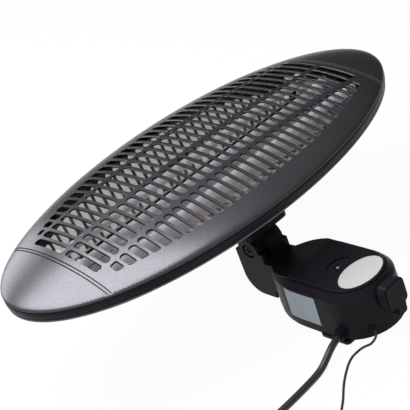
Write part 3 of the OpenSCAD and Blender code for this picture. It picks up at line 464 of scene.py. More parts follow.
def weld_and_smooth():
    """Geometry nodes that weld a carried-over solid and smooth it up to an edge angle."""
    tree, start, end = node_group(
        "weld_and_smooth", "GeometryNodeTree",
        [("Geometry", GEOMETRY, None), ("Angle", FLOAT, math.radians(32))],
        [("Geometry", GEOMETRY)])
    strip = add_node(tree, "GeometryNodeRemoveAttribute", {"Name": "custom_normal"})
    weld = add_node(tree, "GeometryNodeMergeByDistance", {"Distance": 2e-6})
    faces = add_node(tree, "GeometryNodeSetShadeSmooth")
    edges = add_node(tree, "GeometryNodeSetShadeSmooth", {"Shade Smooth": False},
                     domain="EDGE")
    angle = add_node(tree, "GeometryNodeInputMeshEdgeAngle")
    over = add_node(tree, "ShaderNodeMath", operation="GREATER_THAN")
    connect(
        tree,
        (start, "Geometry", strip, "Geometry"),
        (strip, "Geometry", weld, "Geometry"),
        (weld, "Geometry", faces, "Geometry"),
        (faces, "Geometry", edges, "Geometry"),
        (angle, "Unsigned Angle", over, 0),
        (start, "Angle", over, 1),
        (over, 0, edges, "Selection"),
        (edges, "Geometry", end, "Geometry"))
    return tree


def dress(material, *nodes, edge, segments=2):
    """Finishes carried-over nodes: welds, smooths and rounds them, and sets their material."""
    for node in nodes:
        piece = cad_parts[node]
        smooth = piece.modifiers.new("smoothing", "NODES")
        smooth.node_group = built_once(weld_and_smooth)
        rounded(piece, edge, segments)
        piece.data.materials.clear()
        piece.data.materials.append(material)


# Finishes

PLAIN_FINISH = {
    "metal": 0.0, "grain": 900, "mottle": 25, "bump": 0.05, "wear": 0.4, "specular": 0.5,
    "coat": 0.0, "through": 0.0, "edge_tint": 1.0, "flakes": None,
}
# Each finish: its colour, unless a setting gives it; its least and greatest roughness; and
# what differs from the plain one. Flakes are their scale, share and brightness.
FINISHES = {
    "head_paint": {"rough": (0.25, 0.31), "metal": 0.95, "grain": 1000, "mottle": 14,
                   "bump": 0.06, "wear": 0.0, "flakes": (1500.0, 0.5, 1.22),
                   "edge_tint": 0.72},
    "cover_inside": {"base": (0.052, 0.047, 0.050), "rough": (0.5, 0.6), "metal": 0.3,
                     "grain": 700},
    "band_black": {"rough": (0.34, 0.44), "bump": 0.06, "wear": 0.3, "specular": 0.15},
    "rear_paint": {"rough": (0.38, 0.48), "metal": 0.35, "grain": 1100, "mottle": 12,
                   "bump": 0.08, "wear": 0.5},
    "frosted_quartz": {"rough": (0.42, 0.55), "grain": 2600, "mottle": 45, "through": 0.25,
                       "wear": 0.0},
    "heating_wire": {"base": (0.26, 0.23, 0.21), "rough": (0.45, 0.55), "metal": 0.9},
    "ceramic": {"base": (0.72, 0.69, 0.63), "rough": (0.5, 0.62), "grain": 800, "bump": 0.08},
    "holder_steel": {"base": (0.20, 0.23, 0.27), "rough": (0.30, 0.42), "metal": 0.9,
                     "grain": 400},
    "reflector_sheet": {"rough": (0.05, 0.09), "metal": 1.0, "grain": 160, "mottle": 18,
                        "bump": 0.02, "wear": 0.0},
    "zinc_steel": {"base": (0.55, 0.55, 0.53), "rough": (0.28, 0.4), "metal": 1.0,
                   "grain": 500},
    "black_steel": {"base": (0.008, 0.008, 0.009), "rough": (0.34, 0.44), "bump": 0.06,
                    "specular": 0.12},
    "black_plastic": {"rough": (0.34, 0.44), "grain": 1300, "mottle": 30, "bump": 0.10,
                      "wear": 0.35, "specular": 0.08},
    "badge_silver": {"rough": (0.42, 0.5), "grain": 500, "bump": 0.03, "wear": 0.1},
    "label_foil": {"rough": (0.32, 0.4), "grain": 300, "bump": 0.02, "wear": 0.0},
    "window_black": {"base": (0.004, 0.004, 0.005), "rough": (0.08, 0.14), "grain": 300,
                     "bump": 0.01, "coat": 0.5},
    "switch_plastic": {"base": (0.62, 0.58, 0.48), "rough": (0.4, 0.5), "grain": 700},
    "cord_rubber": {"rough": (0.27, 0.34), "bump": 0.03, "wear": 0.2},
    "cord_braid": {"rough": (0.6, 0.75), "grain": 1500, "bump": 0.6},
    "tie_nylon": {"base": (0.02, 0.02, 0.022), "rough": (0.35, 0.45), "grain": 700},
    "plug_plastic": {"base": (0.014, 0.014, 0.016), "rough": (0.38, 0.5), "grain": 600,
                     "bump": 0.12},
    "plug_metal": {"base": (0.62, 0.62, 0.63), "rough": (0.18, 0.28), "metal": 1.0,
                   "grain": 300, "bump": 0.03},
}
REFRACTION = 1.45
RELIEF_DEPTH = 0.0005
WORN_BRIGHTNESS = 1.35


def fine_grain():
    """Fine moulded or painted grain: a height, and a value that varies in mottles."""
    tree, start, end = node_group(
        "fine_grain", "ShaderNodeTree",
        [("Grain Scale", FLOAT, 900.0), ("Mottle Scale", FLOAT, 25.0), ("Low", FLOAT, 0.0),
         ("High", FLOAT, 1.0)],
        [("Height", FLOAT), ("Value", FLOAT)])
    place = add_node(tree, "ShaderNodeTexCoord")
    fine = add_node(tree, "ShaderNodeTexNoise", {"Detail": 3.0})
    broad = add_node(tree, "ShaderNodeTexNoise", {"Detail": 4.0})
    spread = add_node(tree, "ShaderNodeMapRange", {"From Min": 0.35, "From Max": 0.65})
    connect(
        tree,
        (place, "Object", fine, "Vector"),
        (start, "Grain Scale", fine, "Scale"),
        (fine, "Fac", end, "Height"),
        (place, "Object", broad, "Vector"),
        (start, "Mottle Scale", broad, "Scale"),
        (broad, "Fac", spread, "Value"),
        (start, "Low", spread, "To Min"),
        (start, "High", spread, "To Max"),
        (spread, "Result", end, "Value"))
    return tree


def paint_flakes():
    """Metal flakes in paint: small cells, a share of which is brighter than the paint."""
    tree, start, end = node_group(
        "paint_flakes", "ShaderNodeTree",
        [("Scale", FLOAT, 1600.0), ("Paint", COLOR, (0.1, 0.1, 0.1, 1)),
         ("Flake", COLOR, (0.3, 0.3, 0.3, 1)), ("Share", FLOAT, 0.75)],
        [("Color", COLOR)])
    place = add_node(tree, "ShaderNodeTexCoord")
    cells = add_node(tree, "ShaderNodeTexVoronoi")
    split = add_node(tree, "ShaderNodeSeparateColor")
    above = add_node(tree, "ShaderNodeMapRange", {"From Max": 1.0})
    mix = add_node(tree, "ShaderNodeMix", data_type="RGBA")
    connect(
        tree,
        (place, "Object", cells, "Vector"),
        (start, "Scale", cells, "Scale"),
        (cells, "Color", split, "Color"),
        (split, "Red", above, "Value"),
        (start, "Share", above, "From Min"),
        (above, "Result", mix, "Factor"),
        (start, "Paint", mix, "A"),
        (start, "Flake", mix, "B"),
        (mix, "Result", end, "Color"))
    return tree


def edge_wear():
    """Edges rubbed lighter, from the surface's own curvature."""
    tree, start, end = node_group(
        "edge_wear", "ShaderNodeTree",
        [("Base", COLOR, (0.1, 0.1, 0.1, 1)), ("Worn", COLOR, (0.2, 0.2, 0.2, 1)),
         ("Amount", FLOAT, 0.5)],
        [("Color", COLOR)])
    shape = add_node(tree, "ShaderNodeNewGeometry")
    edge = add_node(tree, "ShaderNodeMapRange", {"From Min": 0.52, "From Max": 0.62})
    share = add_node(tree, "ShaderNodeMath", operation="MULTIPLY")
    mix = add_node(tree, "ShaderNodeMix", data_type="RGBA")
    connect(
        tree,
        (shape, "Pointiness", edge, "Value"),
        (edge, "Result", share, 0),
        (start, "Amount", share, 1),
        (share, 0, mix, "Factor"),
        (start, "Base", mix, "A"),
        (start, "Worn", mix, "B"),
        (mix, "Result", end, "Color"))
    return tree


def lighter(base, share):
    """A colour times a share, as a socket takes it."""
    return (*[min(1, share * c) for c in base], 1)


def finish(name, base=None):
    """The named finish, made at its first use, in its own colour or in the one given."""
    made = bpy.data.materials.get(f"{name}_finish")
    if made:
        return made
    look = {**PLAIN_FINISH, **FINISHES[name]}
    base = tuple(look["base"] if base is None else base)
    material = bpy.data.materials.new(f"{name}_finish")
    material.use_nodes = True
    tree = material.node_tree
    shader = tree.nodes["Principled BSDF"]
    tint = look["edge_tint"]
    for socket, value in (
        ("Base Color", (*base, 1)), ("Metallic", look["metal"]), ("IOR", REFRACTION),
        ("Specular IOR Level", look["specular"]), ("Specular Tint", (tint, tint, tint, 1)),
        ("Coat Weight", look["coat"]), ("Transmission Weight", look["through"]),
    ):
        shader.inputs[socket].default_value = value
    low, high = look["rough"]
    grain = add_node(tree, "ShaderNodeGroup", {
        "Grain Scale": look["grain"], "Mottle Scale": look["mottle"], "Low": low, "High": high,
    }, node_tree=built_once(fine_grain))
    relief = add_node(tree, "ShaderNodeBump",
                      {"Strength": look["bump"], "Distance": RELIEF_DEPTH})
    connect(
        tree,
        (grain, "Value", shader, "Roughness"),
        (grain, "Height", relief, "Height"),
        (relief, "Normal", shader, "Normal"))
    if look["flakes"]:
        scale, share, brightness = look["flakes"]
        flakes = add_node(tree, "ShaderNodeGroup", {
            "Scale": scale, "Share": share, "Paint": (*base, 1),
            "Flake": lighter(base, brightness),
        }, node_tree=built_once(paint_flakes))
        connect(tree, (flakes, "Color", shader, "Base Color"))
    elif look["wear"]:
        worn = add_node(tree, "ShaderNodeGroup", {
            "Amount": look["wear"], "Base": (*base, 1),
            "Worn": lighter(base, WORN_BRIGHTNESS),
        }, node_tree=built_once(edge_wear))
        connect(tree, (worn, "Color", shader, "Base Color"))
    return material


# Camera and cords

class HEATER_OT_camera(bpy.types.Operator):
    """Places the camera where the photograph was taken from"""
    bl_idname = "heater.camera"
    bl_label = "Camera"

    def execute(self, context):
        data = bpy.data.cameras.new("camera")
        data.lens = CAMERA_LENS
        data.sensor_width = CAMERA_SENSOR
        data.clip_start, data.clip_end = CAMERA_CLIP
        camera = bpy.data.objects.new("camera", data)
        camera.matrix_world = Matrix.Translation(CAMERA_PLACE) @ Matrix(CAMERA_AXES).to_4x4()
        context.scene.collection.objects.link(camera)
        context.scene.camera = camera
        return {"FINISHED"}


def on_coil_end(name, coil, form, material):
    """A moulded piece of the given form on the end of a put-away cord."""
    place = Matrix.Translation(coil_end(coil)) @ Matrix.Rotation(math.pi / 2, 4, "X")
    sections = [[mm(*p) for p in ring(*section, MOULDED_SIDES)] for section in form]
    return lofted(name, sections, [material], place)


def tie_band(name, coil, angle, width, head, material):
    """A closed cable tie round one side of a coil, with its locking head, in millimetres."""
    gap = coil["d"] / 2 + TIE_PLAY
    inner = (coil["out_r"] - coil["pitch"] * coil["turns"] / 2 - gap) / MM
    outer = (coil["out_r"] + gap) / MM
    height = (coil["z0"] + coil["pitch"] + gap) / MM
    loops = []
    for grow in (0.0, TIE_THICK):
        x0, x1 = inner - grow, outer + grow
        z0, z1 = TIE_THICK - grow, height + grow
        r = TIE_CORNER + grow
        loop = []
        for x, z, turn in ((x1 - r, z0 + r, -90), (x1 - r, z1 - r, 0),
                           (x0 + r, z1 - r, 90), (x0 + r, z0 + r, 180)):
            for k in range(TIE_CORNER_STEPS + 1):
                a = math.radians(turn + 90 * k / TIE_CORNER_STEPS)
                loop.append((x + r * math.cos(a), z + r * math.sin(a)))
        loops.append(loop)
    inside, outside = loops
    count = len(inside)
    half = width / 2
    points = [
        mm(x, y, z)
        for loop, y in ((inside, -half), (outside, -half), (outside, half), (inside, half))
        for x, z in loop
    ]
    faces = join_rings([range(k * count, (k + 1) * count) for k in (0, 1, 2, 3, 0)])
    base = len(points)
    long, wide, high = head[0], head[1] / 2, head[2] / 2
    middle = height / 2
    for x in (outer + TIE_THICK, outer + TIE_THICK + long):
        points += [mm(x, y, middle + z) for y, z in (
            (-wide, -high), (wide, -high), (wide, high), (-wide, high))]
    faces += [(base, base + 3, base + 2, base + 1), (base + 4, base + 5, base + 6, base + 7)]
    faces += join_rings([range(base, base + 4), range(base + 4, base + 8)])
    place = Matrix.Translation((*coil["centre"], 0))
    place = place @ Matrix.Rotation(math.radians(angle), 4, "Z")
    tie = from_lists(name, points, faces, [material], place, sharp=50)
    return rounded(tie, 0.00025, segments=1, angle=50)


def coil_ties(name, coil, body, node, width, head):
    """The ties round a coil, which stand for the node of its ties."""
    ties = []
    for number, angle in enumerate(TIE_ANGLES, 1):
        tie = tie_band(f"{name}_{number}", coil, angle, width, head, finish("tie_nylon"))
        declare(tie, body, "tie_nylon", node)
        ties.append(tie)
    return ties


class HEATER_OT_cords(bpy.types.Operator):
    """Lays the mains lead with its plug and the pull cord with its knob"""
    bl_idname = "heater.cords"
    bl_label = "Cords"

    def execute(self, context):
        settings = context.scene.heater_cords
        moulded = finish("plug_plastic")

        lead = cord_curve("mains_lead", LEAD_ROUTE, LEAD_COIL, settings.lead_diameter,
                          finish("cord_rubber", settings.sheath))
        declare(lead, "wall_box", "cord_rubber", "mains_cable", "cable_coil")
        plug = on_coil_end("plug_body", LEAD_COIL, PLUG_FORM, moulded)
        declare(plug, "wall_box", "plug_plastic", "plug")
        dress(finish("plug_metal"), "plug_pins", edge=0.0006)
        ties = coil_ties("lead_tie", LEAD_COIL, "wall_box", "cable_tie",
                         width=4, head=(6, 5, 4))

        pull = cord_curve("pull_string", PULL_ROUTE, PULL_COIL, settings.pull_diameter,
                          finish("cord_braid", settings.braid))
        declare(pull, "pull_cord_set", "cord_braid", "pull_cord", "pull_cord_coil")
        knob = on_coil_end("pull_drop", PULL_COIL, PULL_KNOB_FORM, moulded)
        declare(knob, "pull_cord_set", "black_plastic", "pull_knob")
        ties = coil_ties("pull_tie", PULL_COIL, "pull_cord_set", "pull_cord_tie",
                         width=2.5, head=(3.6, 3.2, 2.6))
        return {"FINISHED"}


# Head

def oval_share(head, x, y):
    """How far a place in the head's plane is from the middle, 1 on the oval itself."""
    return math.sqrt((x / head.long_radius) ** 2 + (y / head.short_radius) ** 2)


def dome_height(head, x, y):
    """Height of the front above the rim at a place in the head's plane."""
    square = (x / head.long_radius) ** 2 + (y / head.short_radius) ** 2
    return head.dome_height * max(0.0, 1 - square) ** head.dome_power


def dome_normal(head, x, y):
    """The front's normal at a place in the head's plane."""
    a, b = head.long_radius, head.short_radius
    inner = max(1e-4, 1 - (x / a) ** 2 - (y / b) ** 2)
    slope = 2 * head.dome_height * head.dome_power * inner ** (head.dome_power - 1)
    return Vector((slope * x / a ** 2, slope * y / b ** 2, 1)).normalized()


def field_edge(head, x, side):
    """Edge of the slotted field at x, on its upper or lower side."""
    share = max(0.0, 1 - (x / head.field_long) ** 2)
    return -head.field_drop + side * head.field_short * math.sqrt(share)


def hull_of_circles(circles):
    """Convex outline round circles given as (x, y, radius), counter-clockwise."""
    turns = [math.tau * (k + 0.5) / CORNER_POINTS for k in range(CORNER_POINTS)]
    points = [Vector((x + r * math.cos(turn), y + r * math.sin(turn)))
              for x, y, r in circles for turn in turns]
    outline = [points[i] for i in convex_hull_2d(points)]
    area = sum(a.x * b.y - b.x * a.y for a, b in zip(outline, outline[1:] + outline[:1]))
    return outline if area > 0 else outline[::-1]


def slot_outlines(head):
    """Outlines of all slots: four rows, the outer ones cut along the oval."""
    r, corner = head.slot_width / 2, head.corner_radius
    inset = r - corner
    rise = head.field_drop / 2
    half_rib = head.rib_width / 2
    outlines = []
    for i in range(head.slot_columns):
        x = (i - (head.slot_columns - 1) / 2) * head.slot_pitch
        for low, high in ((-head.rib_pitch - rise, -rise), (-rise, head.rib_pitch - rise)):
            outlines.append(hull_of_circles(
                [(x, low + half_rib + r, r), (x, high - half_rib - r, r)]))
        for side in (-1, 1):
            rib = side * (head.rib_pitch + half_rib) - rise
            long = side * (field_edge(head, x, side) - rib)
            if long <= head.shortest_slot:
                continue
            if long > 2 * head.slot_width:
                circles = [(x, rib + side * r, r)]
            else:
                circles = [(x + s * inset, rib + side * corner, corner) for s in (-1, 1)]
            for s in (-1, 1):
                edge = field_edge(head, x + s * inset, side)
                circles.append((x + s * inset, edge - side * corner, corner))
            outlines.append(hull_of_circles(circles))
    return outlines


def slot_loops(outline, grow):
    """A slot's wall and its edge on top, grown outwards, with their long sides split."""
    grown = []
    count = len(outline)
    for i, p in enumerate(outline):
        before, after = p - outline[i - 1], outline[(i + 1) % count] - p
        normal = (Vector((before.y, -before.x)).normalized()
                  + Vector((after.y, -after.x)).normalized()).normalized()
        grown.append((p, p + normal * grow))
    wall, top = [], []
    for i in range(count):
        (a, top_a), (b, top_b) = grown[i], grown[(i + 1) % count]
        steps = max(1, math.ceil((b - a).length / SLOT_EDGE_STEP))
        for k in range(steps):
            wall.append(a.lerp(b, k / steps))
            top.append(top_a.lerp(top_b, k / steps))
    return wall, top


def groove_centres(head):
    """Where the four end grooves cross the head's long axis."""
    return [side * head.groove_place + middle * head.groove_apart
            for side in (-1, 1) for middle in (-0.5, 0.5)]


def groove_dip(head, x):
    """Depth of the grooves at x, with sloping sides and a flat floor."""
    for groove in groove_centres(head):
        away = abs(x - groove) / (head.groove_width / 2)
        if away < 1:
            return head.groove_depth * min(1.0, (1 - away) / (1 - GROOVE_FLOOR))
    return 0.0


def plain_spots(head):
    """Points between the slots, the grooves and the rim, in staggered rows."""
    long, short = head.field_long + GRILLE_MARGIN, head.field_short + GRILLE_MARGIN
    grooves = groove_centres(head)
    spots = []
    for row in range(-GRID_ROWS, GRID_ROWS + 1):
        for column in range(-GRID_COLUMNS, GRID_COLUMNS + 1):
            x = (column + 0.5 * (row % 2)) * GRID_STEP
            y = row * GRID_STEP * GRID_FLATTEN
            in_field = (x / long) ** 2 + ((y + head.field_drop) / short) ** 2 < 1
            if (
                oval_share(head, x, y) > GRID_SHARE
                or any(abs(x - groove) < GROOVE_CLEAR for groove in grooves)
                or in_field and abs(x) < GRILLE_REACH
            ):
                continue
            spots.append(Vector((x, y)))
    return spots


def cover_plan(head):
    """Flat triangles of the domed front: points, triangles, rim loop and slot loops."""
    a, b = head.long_radius, head.short_radius
    points, edges = [], []

    def add_line(line, closed):
        start, count = len(points), len(line)
        points.extend(line)
        edges.extend((start + i, start + (i + 1) % count)
                     for i in range(count if closed else count - 1))
        return range(start, start + count)

    def oval_points(share):
        return [Vector(p[:2]) for p in ring(share * a, share * b, 0, RIM_POINTS)]

    rim = add_line(oval_points(RIM_SHARE), True)
    slots = []
    for outline in slot_outlines(head):
        wall, top = slot_loops(outline, head.slot_round)
        slots.append((add_line(top, True), wall))
    for share in RING_SHARES:
        points.extend(oval_points(share))
    for centre in groove_centres(head):
        for step in (-0.5, -GROOVE_FLOOR / 2, GROOVE_FLOOR / 2, 0.5):
            x = centre + step * head.groove_width
            top = GROOVE_END_SHARE * b * math.sqrt(1 - (x / a) ** 2)
            add_line([Vector((x, -top + 2 * top * k / GROOVE_ROWS))
                      for k in range(GROOVE_ROWS + 1)], False)
    points.extend(plain_spots(head))

    spots, _, triangles, origins, _, _ = delaunay_2d_cdt(
        points, edges, [], FILL_INSIDE, SAME_POINT)
    moved = {old: new for new, olds in enumerate(origins) for old in olds}
    slots = [([moved[i] for i in loop], wall) for loop, wall in slots]
    slot_of = {i: k for k, (loop, _) in enumerate(slots) for i in loop}
    kept = []
    for face in triangles:
        owners = {slot_of.get(i) for i in face}
        if len(owners) > 1 or None in owners:
            kept.append(tuple(face))
    return spots, kept, [moved[i] for i in rim], slots


# The front cover's materials, by number
PAINT, INSIDE, BAND = 0, 1, 2


class CoverSkin:
    """The front cover's points and faces, with the material number of each face."""

    def __init__(self):
        self.points, self.faces, self.kinds = [], [], []

    def add_points(self, points):
        """Adds points and gives their numbers."""
        start = len(self.points)
        self.points.extend(points)
        return range(start, len(self.points))

    def add_faces(self, faces, kind):
        """Adds faces of one material."""
        self.faces.extend(faces)
        self.kinds.extend([kind] * len(faces))


def add_skins(skin, head, spots, triangles, slots):
    """Adds the painted top and the inside, joined by the walls of the slots.

    Gives the number of the inside's first point.
    """
    def face_up(face):
        p, q, r = (spots[i] for i in face)
        up = (q.x - p.x) * (r.y - p.y) - (q.y - p.y) * (r.x - p.x) > 0
        return face if up else face[::-1]

    top, inside = [], []
    wall_spots = {i: spot for loop, wall in slots for i, spot in zip(loop, wall)}
    for i, p in enumerate(spots):
        share = oval_share(head, p.x, p.y)
        fade = min(1.0, max(0.0, (GROOVE_FADE_SHARE - share) / GROOVE_FADE))
        height = dome_height(head, p.x, p.y)
        top.append((p.x, p.y, height - groove_dip(head, p.x) * fade))
        if i in wall_spots:
            x, y = wall_spots[i]
            inside.append((x, y, dome_height(head, x, y) - head.slot_depth))
            continue
        near = eased((share - INSIDE_FROM_SHARE) / (RIM_SHARE - INSIDE_FROM_SHARE))
        inside.append((p.x * (1 - near * head.wall / head.long_radius),
                       p.y * (1 - near * head.wall / head.short_radius),
                       height - head.slot_depth + INSIDE_LIFT * near))
    skin.add_points(top)
    below = skin.add_points(inside)[0]
    upward = [face_up(face) for face in triangles]
    skin.add_faces(upward, PAINT)
    skin.add_faces([tuple(below + i for i in face[::-1]) for face in upward], INSIDE)

    for loop, wall in slots:
        edge = skin.add_points(
            (x, y, dome_height(head, x, y) - SLOT_ROUND_DROP * head.slot_round)
            for x, y in wall)
        lower = [below + i for i in loop]
        skin.add_faces(join_rings([edge, loop]), PAINT)
        skin.add_faces(join_rings([lower, edge]), BAND)
    return below


def add_band(skin, head, spots, rim, below):
    """Adds the stepped side band, down from the rim and up again on the inside."""
    a, b = head.long_radius, head.short_radius
    foot = head.band_height / MM
    angles = [math.atan2(spots[i].y / b, spots[i].x / a) for i in rim]
    rings = [rim]
    kinds = []
    for inset, z, kind in (
        (0.12, -0.15, PAINT), (0.0, -0.5, PAINT), (0.15, -0.75, PAINT), (0.6, -0.95, BAND),
        (0.6, -1.5, BAND), (0.1, -2.1, BAND), (0.0, -2.6, BAND), (0.0, -6.0, BAND),
        (0.12, -6.5, BAND), (0.9, -7.2, BAND), (0.95, -8.9, BAND), (1.1, -foot + 0.2, BAND),
        (1.4, -foot, BAND), (2.0, -foot, BAND), (2.0, -3.0, INSIDE), (2.3, -1.2, INSIDE),
    ):
        rings.append(skin.add_points(
            ((a - inset * MM) * math.cos(t), (b - inset * MM) * math.sin(t), z * MM)
            for t in angles))
        kinds.append(kind)
    rings.append([below + i for i in rim])
    kinds.append(INSIDE)
    for high, low, kind in zip(rings, rings[1:], kinds):
        skin.add_faces(join_rings([low, high]), kind)


def add_posts(skin):
    """Adds the two posts for the cover's screws, one at each end of the inside."""
    for side in (-1, 1):
        foot, top = (
            skin.add_points((side * POST_PLACE + x, y, height)
                            for x, y, height in ring(POST_RADIUS, POST_RADIUS, z, POST_SIDES))
            for z in (POST_BOTTOM, POST_TOP))
        skin.add_faces([*join_rings([foot, top]), tuple(reversed(foot)), tuple(top)], INSIDE)


def set_dome_normals(mesh, head, spots, rim, count):
    """Gives the first faces, the painted top, the dome's own normals outside the grooves."""
    turn = HEAD.to_3x3()
    on_rim = set(rim)
    normals = [(0, 0, 0)] * len(mesh.loops)
    for polygon in mesh.polygons[:count]:
        middle = sum(spots[i].x for i in polygon.vertices) / 3
        if groove_dip(head, middle):
            continue
        for loop in polygon.loop_indices:
            i = mesh.loops[loop].vertex_index
            if i not in on_rim:
                normals[loop] = turn @ dome_normal(head, spots[i].x, spots[i].y)
    mesh.normals_split_custom_set(normals)


class HEATER_OT_front_cover(bpy.types.Operator):
    """Builds the domed front with its slots, grooves and side band"""
    bl_idname = "heater.front_cover"
    bl_label = "Front cover"

    def execute(self, context):
        head = context.scene.heater_head
        materials = [finish("head_paint", head.paint), finish("cover_inside"),
                     finish("band_black", head.band)]
        spots, triangles, rim, slots = cover_plan(head)
        skin = CoverSkin()
        below = add_skins(skin, head, spots, triangles, slots)
        add_band(skin, head, spots, rim, below)
        add_posts(skin)
        cover = from_lists("grille_cover", skin.points, skin.faces, materials, HEAD,
                           sharp=38, kinds=skin.kinds)
        set_dome_normals(cover.data, head, spots, rim, len(triangles))
        declare(cover, "head", "head_paint", "front_cover")
        return {"FINISHED"}


def cross_screw(name, place, slot, body, node, radius, height, shank, reach):
    """A pan-head screw with a cross recess, its head along +Z from the place."""
    arm, thin = CROSS_ARM * radius, CROSS_THIN * radius
    cross = []
    for c, s, _ in ring(1, 1, 0, SCREW_SIDES):
        across, along = max(abs(c), 1e-6), max(abs(s), 1e-6)
        r = max(min(arm / across, thin / along), min(thin / across, arm / along))
        cross.append((r * c, r * s))
    sections = [ring(shank, shank, z, SCREW_SIDES) for z in (-reach, 0)]
    sections += [ring(share * radius, share * radius, rise * height, SCREW_SIDES)
                 for share, rise in SCREW_HEAD_FORM]
    sections += [[(x * size, y * size, height * rise) for x, y in cross]
                 for size, rise in ((CROSS_FLARE, 1), (CROSS_TAPER, CROSS_FLOOR))]
    screw = lofted(name, sections, [finish(slot)], place, sharp=30)
    declare(screw, body, slot, node)


class HEATER_OT_rear_cover(bpy.types.Operator):
    """Builds the rear pan with its lip and screws"""
    bl_idname = "heater.rear_cover"
    bl_label = "Rear cover"

    def execute(self, context):
        head = context.scene.heater_head
        a, b = head.long_radius / MM, head.short_radius / MM
        sections = [[mm(*p) for p in ring(a - inset, b - inset, z, REAR_PAN_SIDES)]
                    for inset, z in REAR_PAN_FORM]
        pan = lofted("rear_pan", sections, [finish("rear_paint", head.rear)], HEAD)
        declare(pan, "head", "rear_paint", "rear_cover")
        for number, side in enumerate((-1, 1), 1):
            place = HEAD @ Matrix.Translation((side * POST_PLACE, 0, REAR_FACE))
            cross_screw(f"cover_screw_{number}", place @ Matrix.Rotation(math.pi, 4, "X"),
                        "zinc_steel", "head", "cover_screws",
                        radius=0.0032, height=0.0018, shank=0.0016, reach=0.0122)
        return {"FINISHED"}


def wound_wire(tubes):
    """Sections along a wire that is wound round the X axis."""
    radius = tubes.coil_radius - tubes.wire_radius
    turns = 2 * tubes.reach / tubes.coil_pitch
    path = []
    for i in range(int(turns * WIRE_TURN_POINTS) + 1):
        turn = math.tau * i / WIRE_TURN_POINTS
        path.append(Vector((-tubes.reach + tubes.coil_pitch * i / WIRE_TURN_POINTS,
                            radius * math.cos(turn), radius * math.sin(turn))))
    sections = []
    for i, p in enumerate(path):
        along = (path[min(i + 1, len(path) - 1)] - path[max(i - 1, 0)]).normalized()
        out = Vector((0, p.y, p.z)).normalized()
        side = along.cross(out)
        sections.append([p + tubes.wire_radius * (x * out + y * side)
                         for x, y, _ in ring(1, 1, 0, WIRE_SIDES)])
    return sections


class HEATER_OT_tubes(bpy.types.Operator):
    """Finishes the quartz tubes and winds their heating coils"""
    bl_idname = "heater.tubes"
    bl_label = "Tubes and reflector"

    def execute(self, context):
        tubes = context.scene.heater_tubes
        quartz = finish("frosted_quartz", tubes.quartz)
        wire = finish("heating_wire")
        sections = wound_wire(tubes)
        for number, row in ((1, 1), (2, 0), (3, -1)):
            dress(quartz, f"quartz_tube_{number}", edge=0.0004)
            place = HEAD @ Matrix.Translation((0, row * tubes.spacing, -tubes.depth))
            coil = lofted(f"heating_wire_{number}", sections, [wire], place, sharp=60)
            declare(coil, "head", "heating_wire", f"heating_coil_{number}")
        dress(finish("ceramic"), "ceramic_caps_left", "ceramic_caps_right", edge=0.0005)
        dress(finish("holder_steel"), "tube_holder_left", "tube_holder_right", edge=0.0002)
        dress(finish("reflector_sheet", tubes.sheet), "reflector", edge=0.0002)
        dress(finish("zinc_steel"), "reflector_screws", "bracket_screws", edge=0.0003)
        return {"FINISHED"}


# Box, arm and knob

def label_points(lift):
    """Points of the label over the box's side wall, at a distance from it, row by row."""
    wall = SIDE_WALL
    points = []
    for i in range(LABEL_ROWS + 1):
        z = LABEL_LOW + LABEL_HEIGHT * i / LABEL_ROWS
        inset = wall["draft"] * (z - wall["low"]) / (wall["high"] - wall["low"])
        for k in range(LABEL_COLUMNS + 1):
            y = LABEL_NEAR + LABEL_LENGTH * k / LABEL_COLUMNS
            half = wall["half_width"] - inset
            past = max(0, y - wall["round_from"])
            half *= math.sqrt(1 - (past / (wall["round_reach"] - inset)) ** 2)
            points.append(mm(-half - lift, y, z))
    return points


class HEATER_OT_control_box(bpy.types.Operator):
    """Finishes the control box, its arm, lid, badge, lamp and label"""
    bl_idname = "heater.control_box"
    bl_label = "Control box"

    def execute(self, context):
        box = context.scene.heater_box
        black = finish("black_plastic", box.plastic)
        window = finish("window_black")
        ivory = finish("switch_plastic")
        dress(black, "housing", "head_bracket", edge=box.edge, segments=3)
        dress(black, "base_plate", "pull_bush", edge=0.0004)
        dress(black, "lid", "cable_gland", edge=0.0003)
        dress(finish("badge_silver", box.badge), "badge_plate", edge=0.0003)
        dress(window, "indicator_window", edge=0.0001)
        dress(window, "indicator_lamp", edge=0.0004, segments=3)
        dress(finish("black_steel"), "wall_plate", edge=0.0003)
        dress(finish("zinc_steel"), "plate_screws", "base_screws", "pivot_nut", edge=0.0003)
        dress(ivory, "rotary_switch", "pull_switch", "terminal_block", "head_terminal",
              edge=0.0004)
        dress(ivory, "pull_anchor", edge=0.0002)
        place = Matrix.Translation((BOLT_SEAT, *HINGE[1:]))
        cross_screw("pivot_screw", place @ Matrix.Rotation(-math.pi / 2, 4, "Y"),
                    "black_steel", "wall_box", "pivot_bolt",
                    radius=0.0068, height=0.0026, shank=0.004, reach=0.0311)
        self.add_label(finish("label_foil", box.label))
        return {"FINISHED"}

    def add_label(self, foil):
        """A thin bare label that follows the box's drafted side wall."""
        points = [p for lift in LABEL_LIFTS for p in label_points(lift)]
        width = LABEL_COLUMNS + 1
        layer = len(points) // 2
        faces = []
        for i in range(LABEL_ROWS):
            for k in range(LABEL_COLUMNS):
                p = i * width + k
                faces.append((p, p + width, p + width + 1, p + 1))
                q = p + layer
                faces.append((q, q + 1, q + width + 1, q + width))
        border = [
            *range(width),
            *(i * width + LABEL_COLUMNS for i in range(1, LABEL_ROWS + 1)),
            *(LABEL_ROWS * width + k for k in range(LABEL_COLUMNS - 1, -1, -1)),
            *(i * width for i in range(LABEL_ROWS - 1, 0, -1)),
        ]
        faces += join_rings([border, [p + layer for p in border]])
        label = from_lists("bare_label", points, faces, [foil], sharp=30)
        declare(label, "wall_box", "badge_silver")


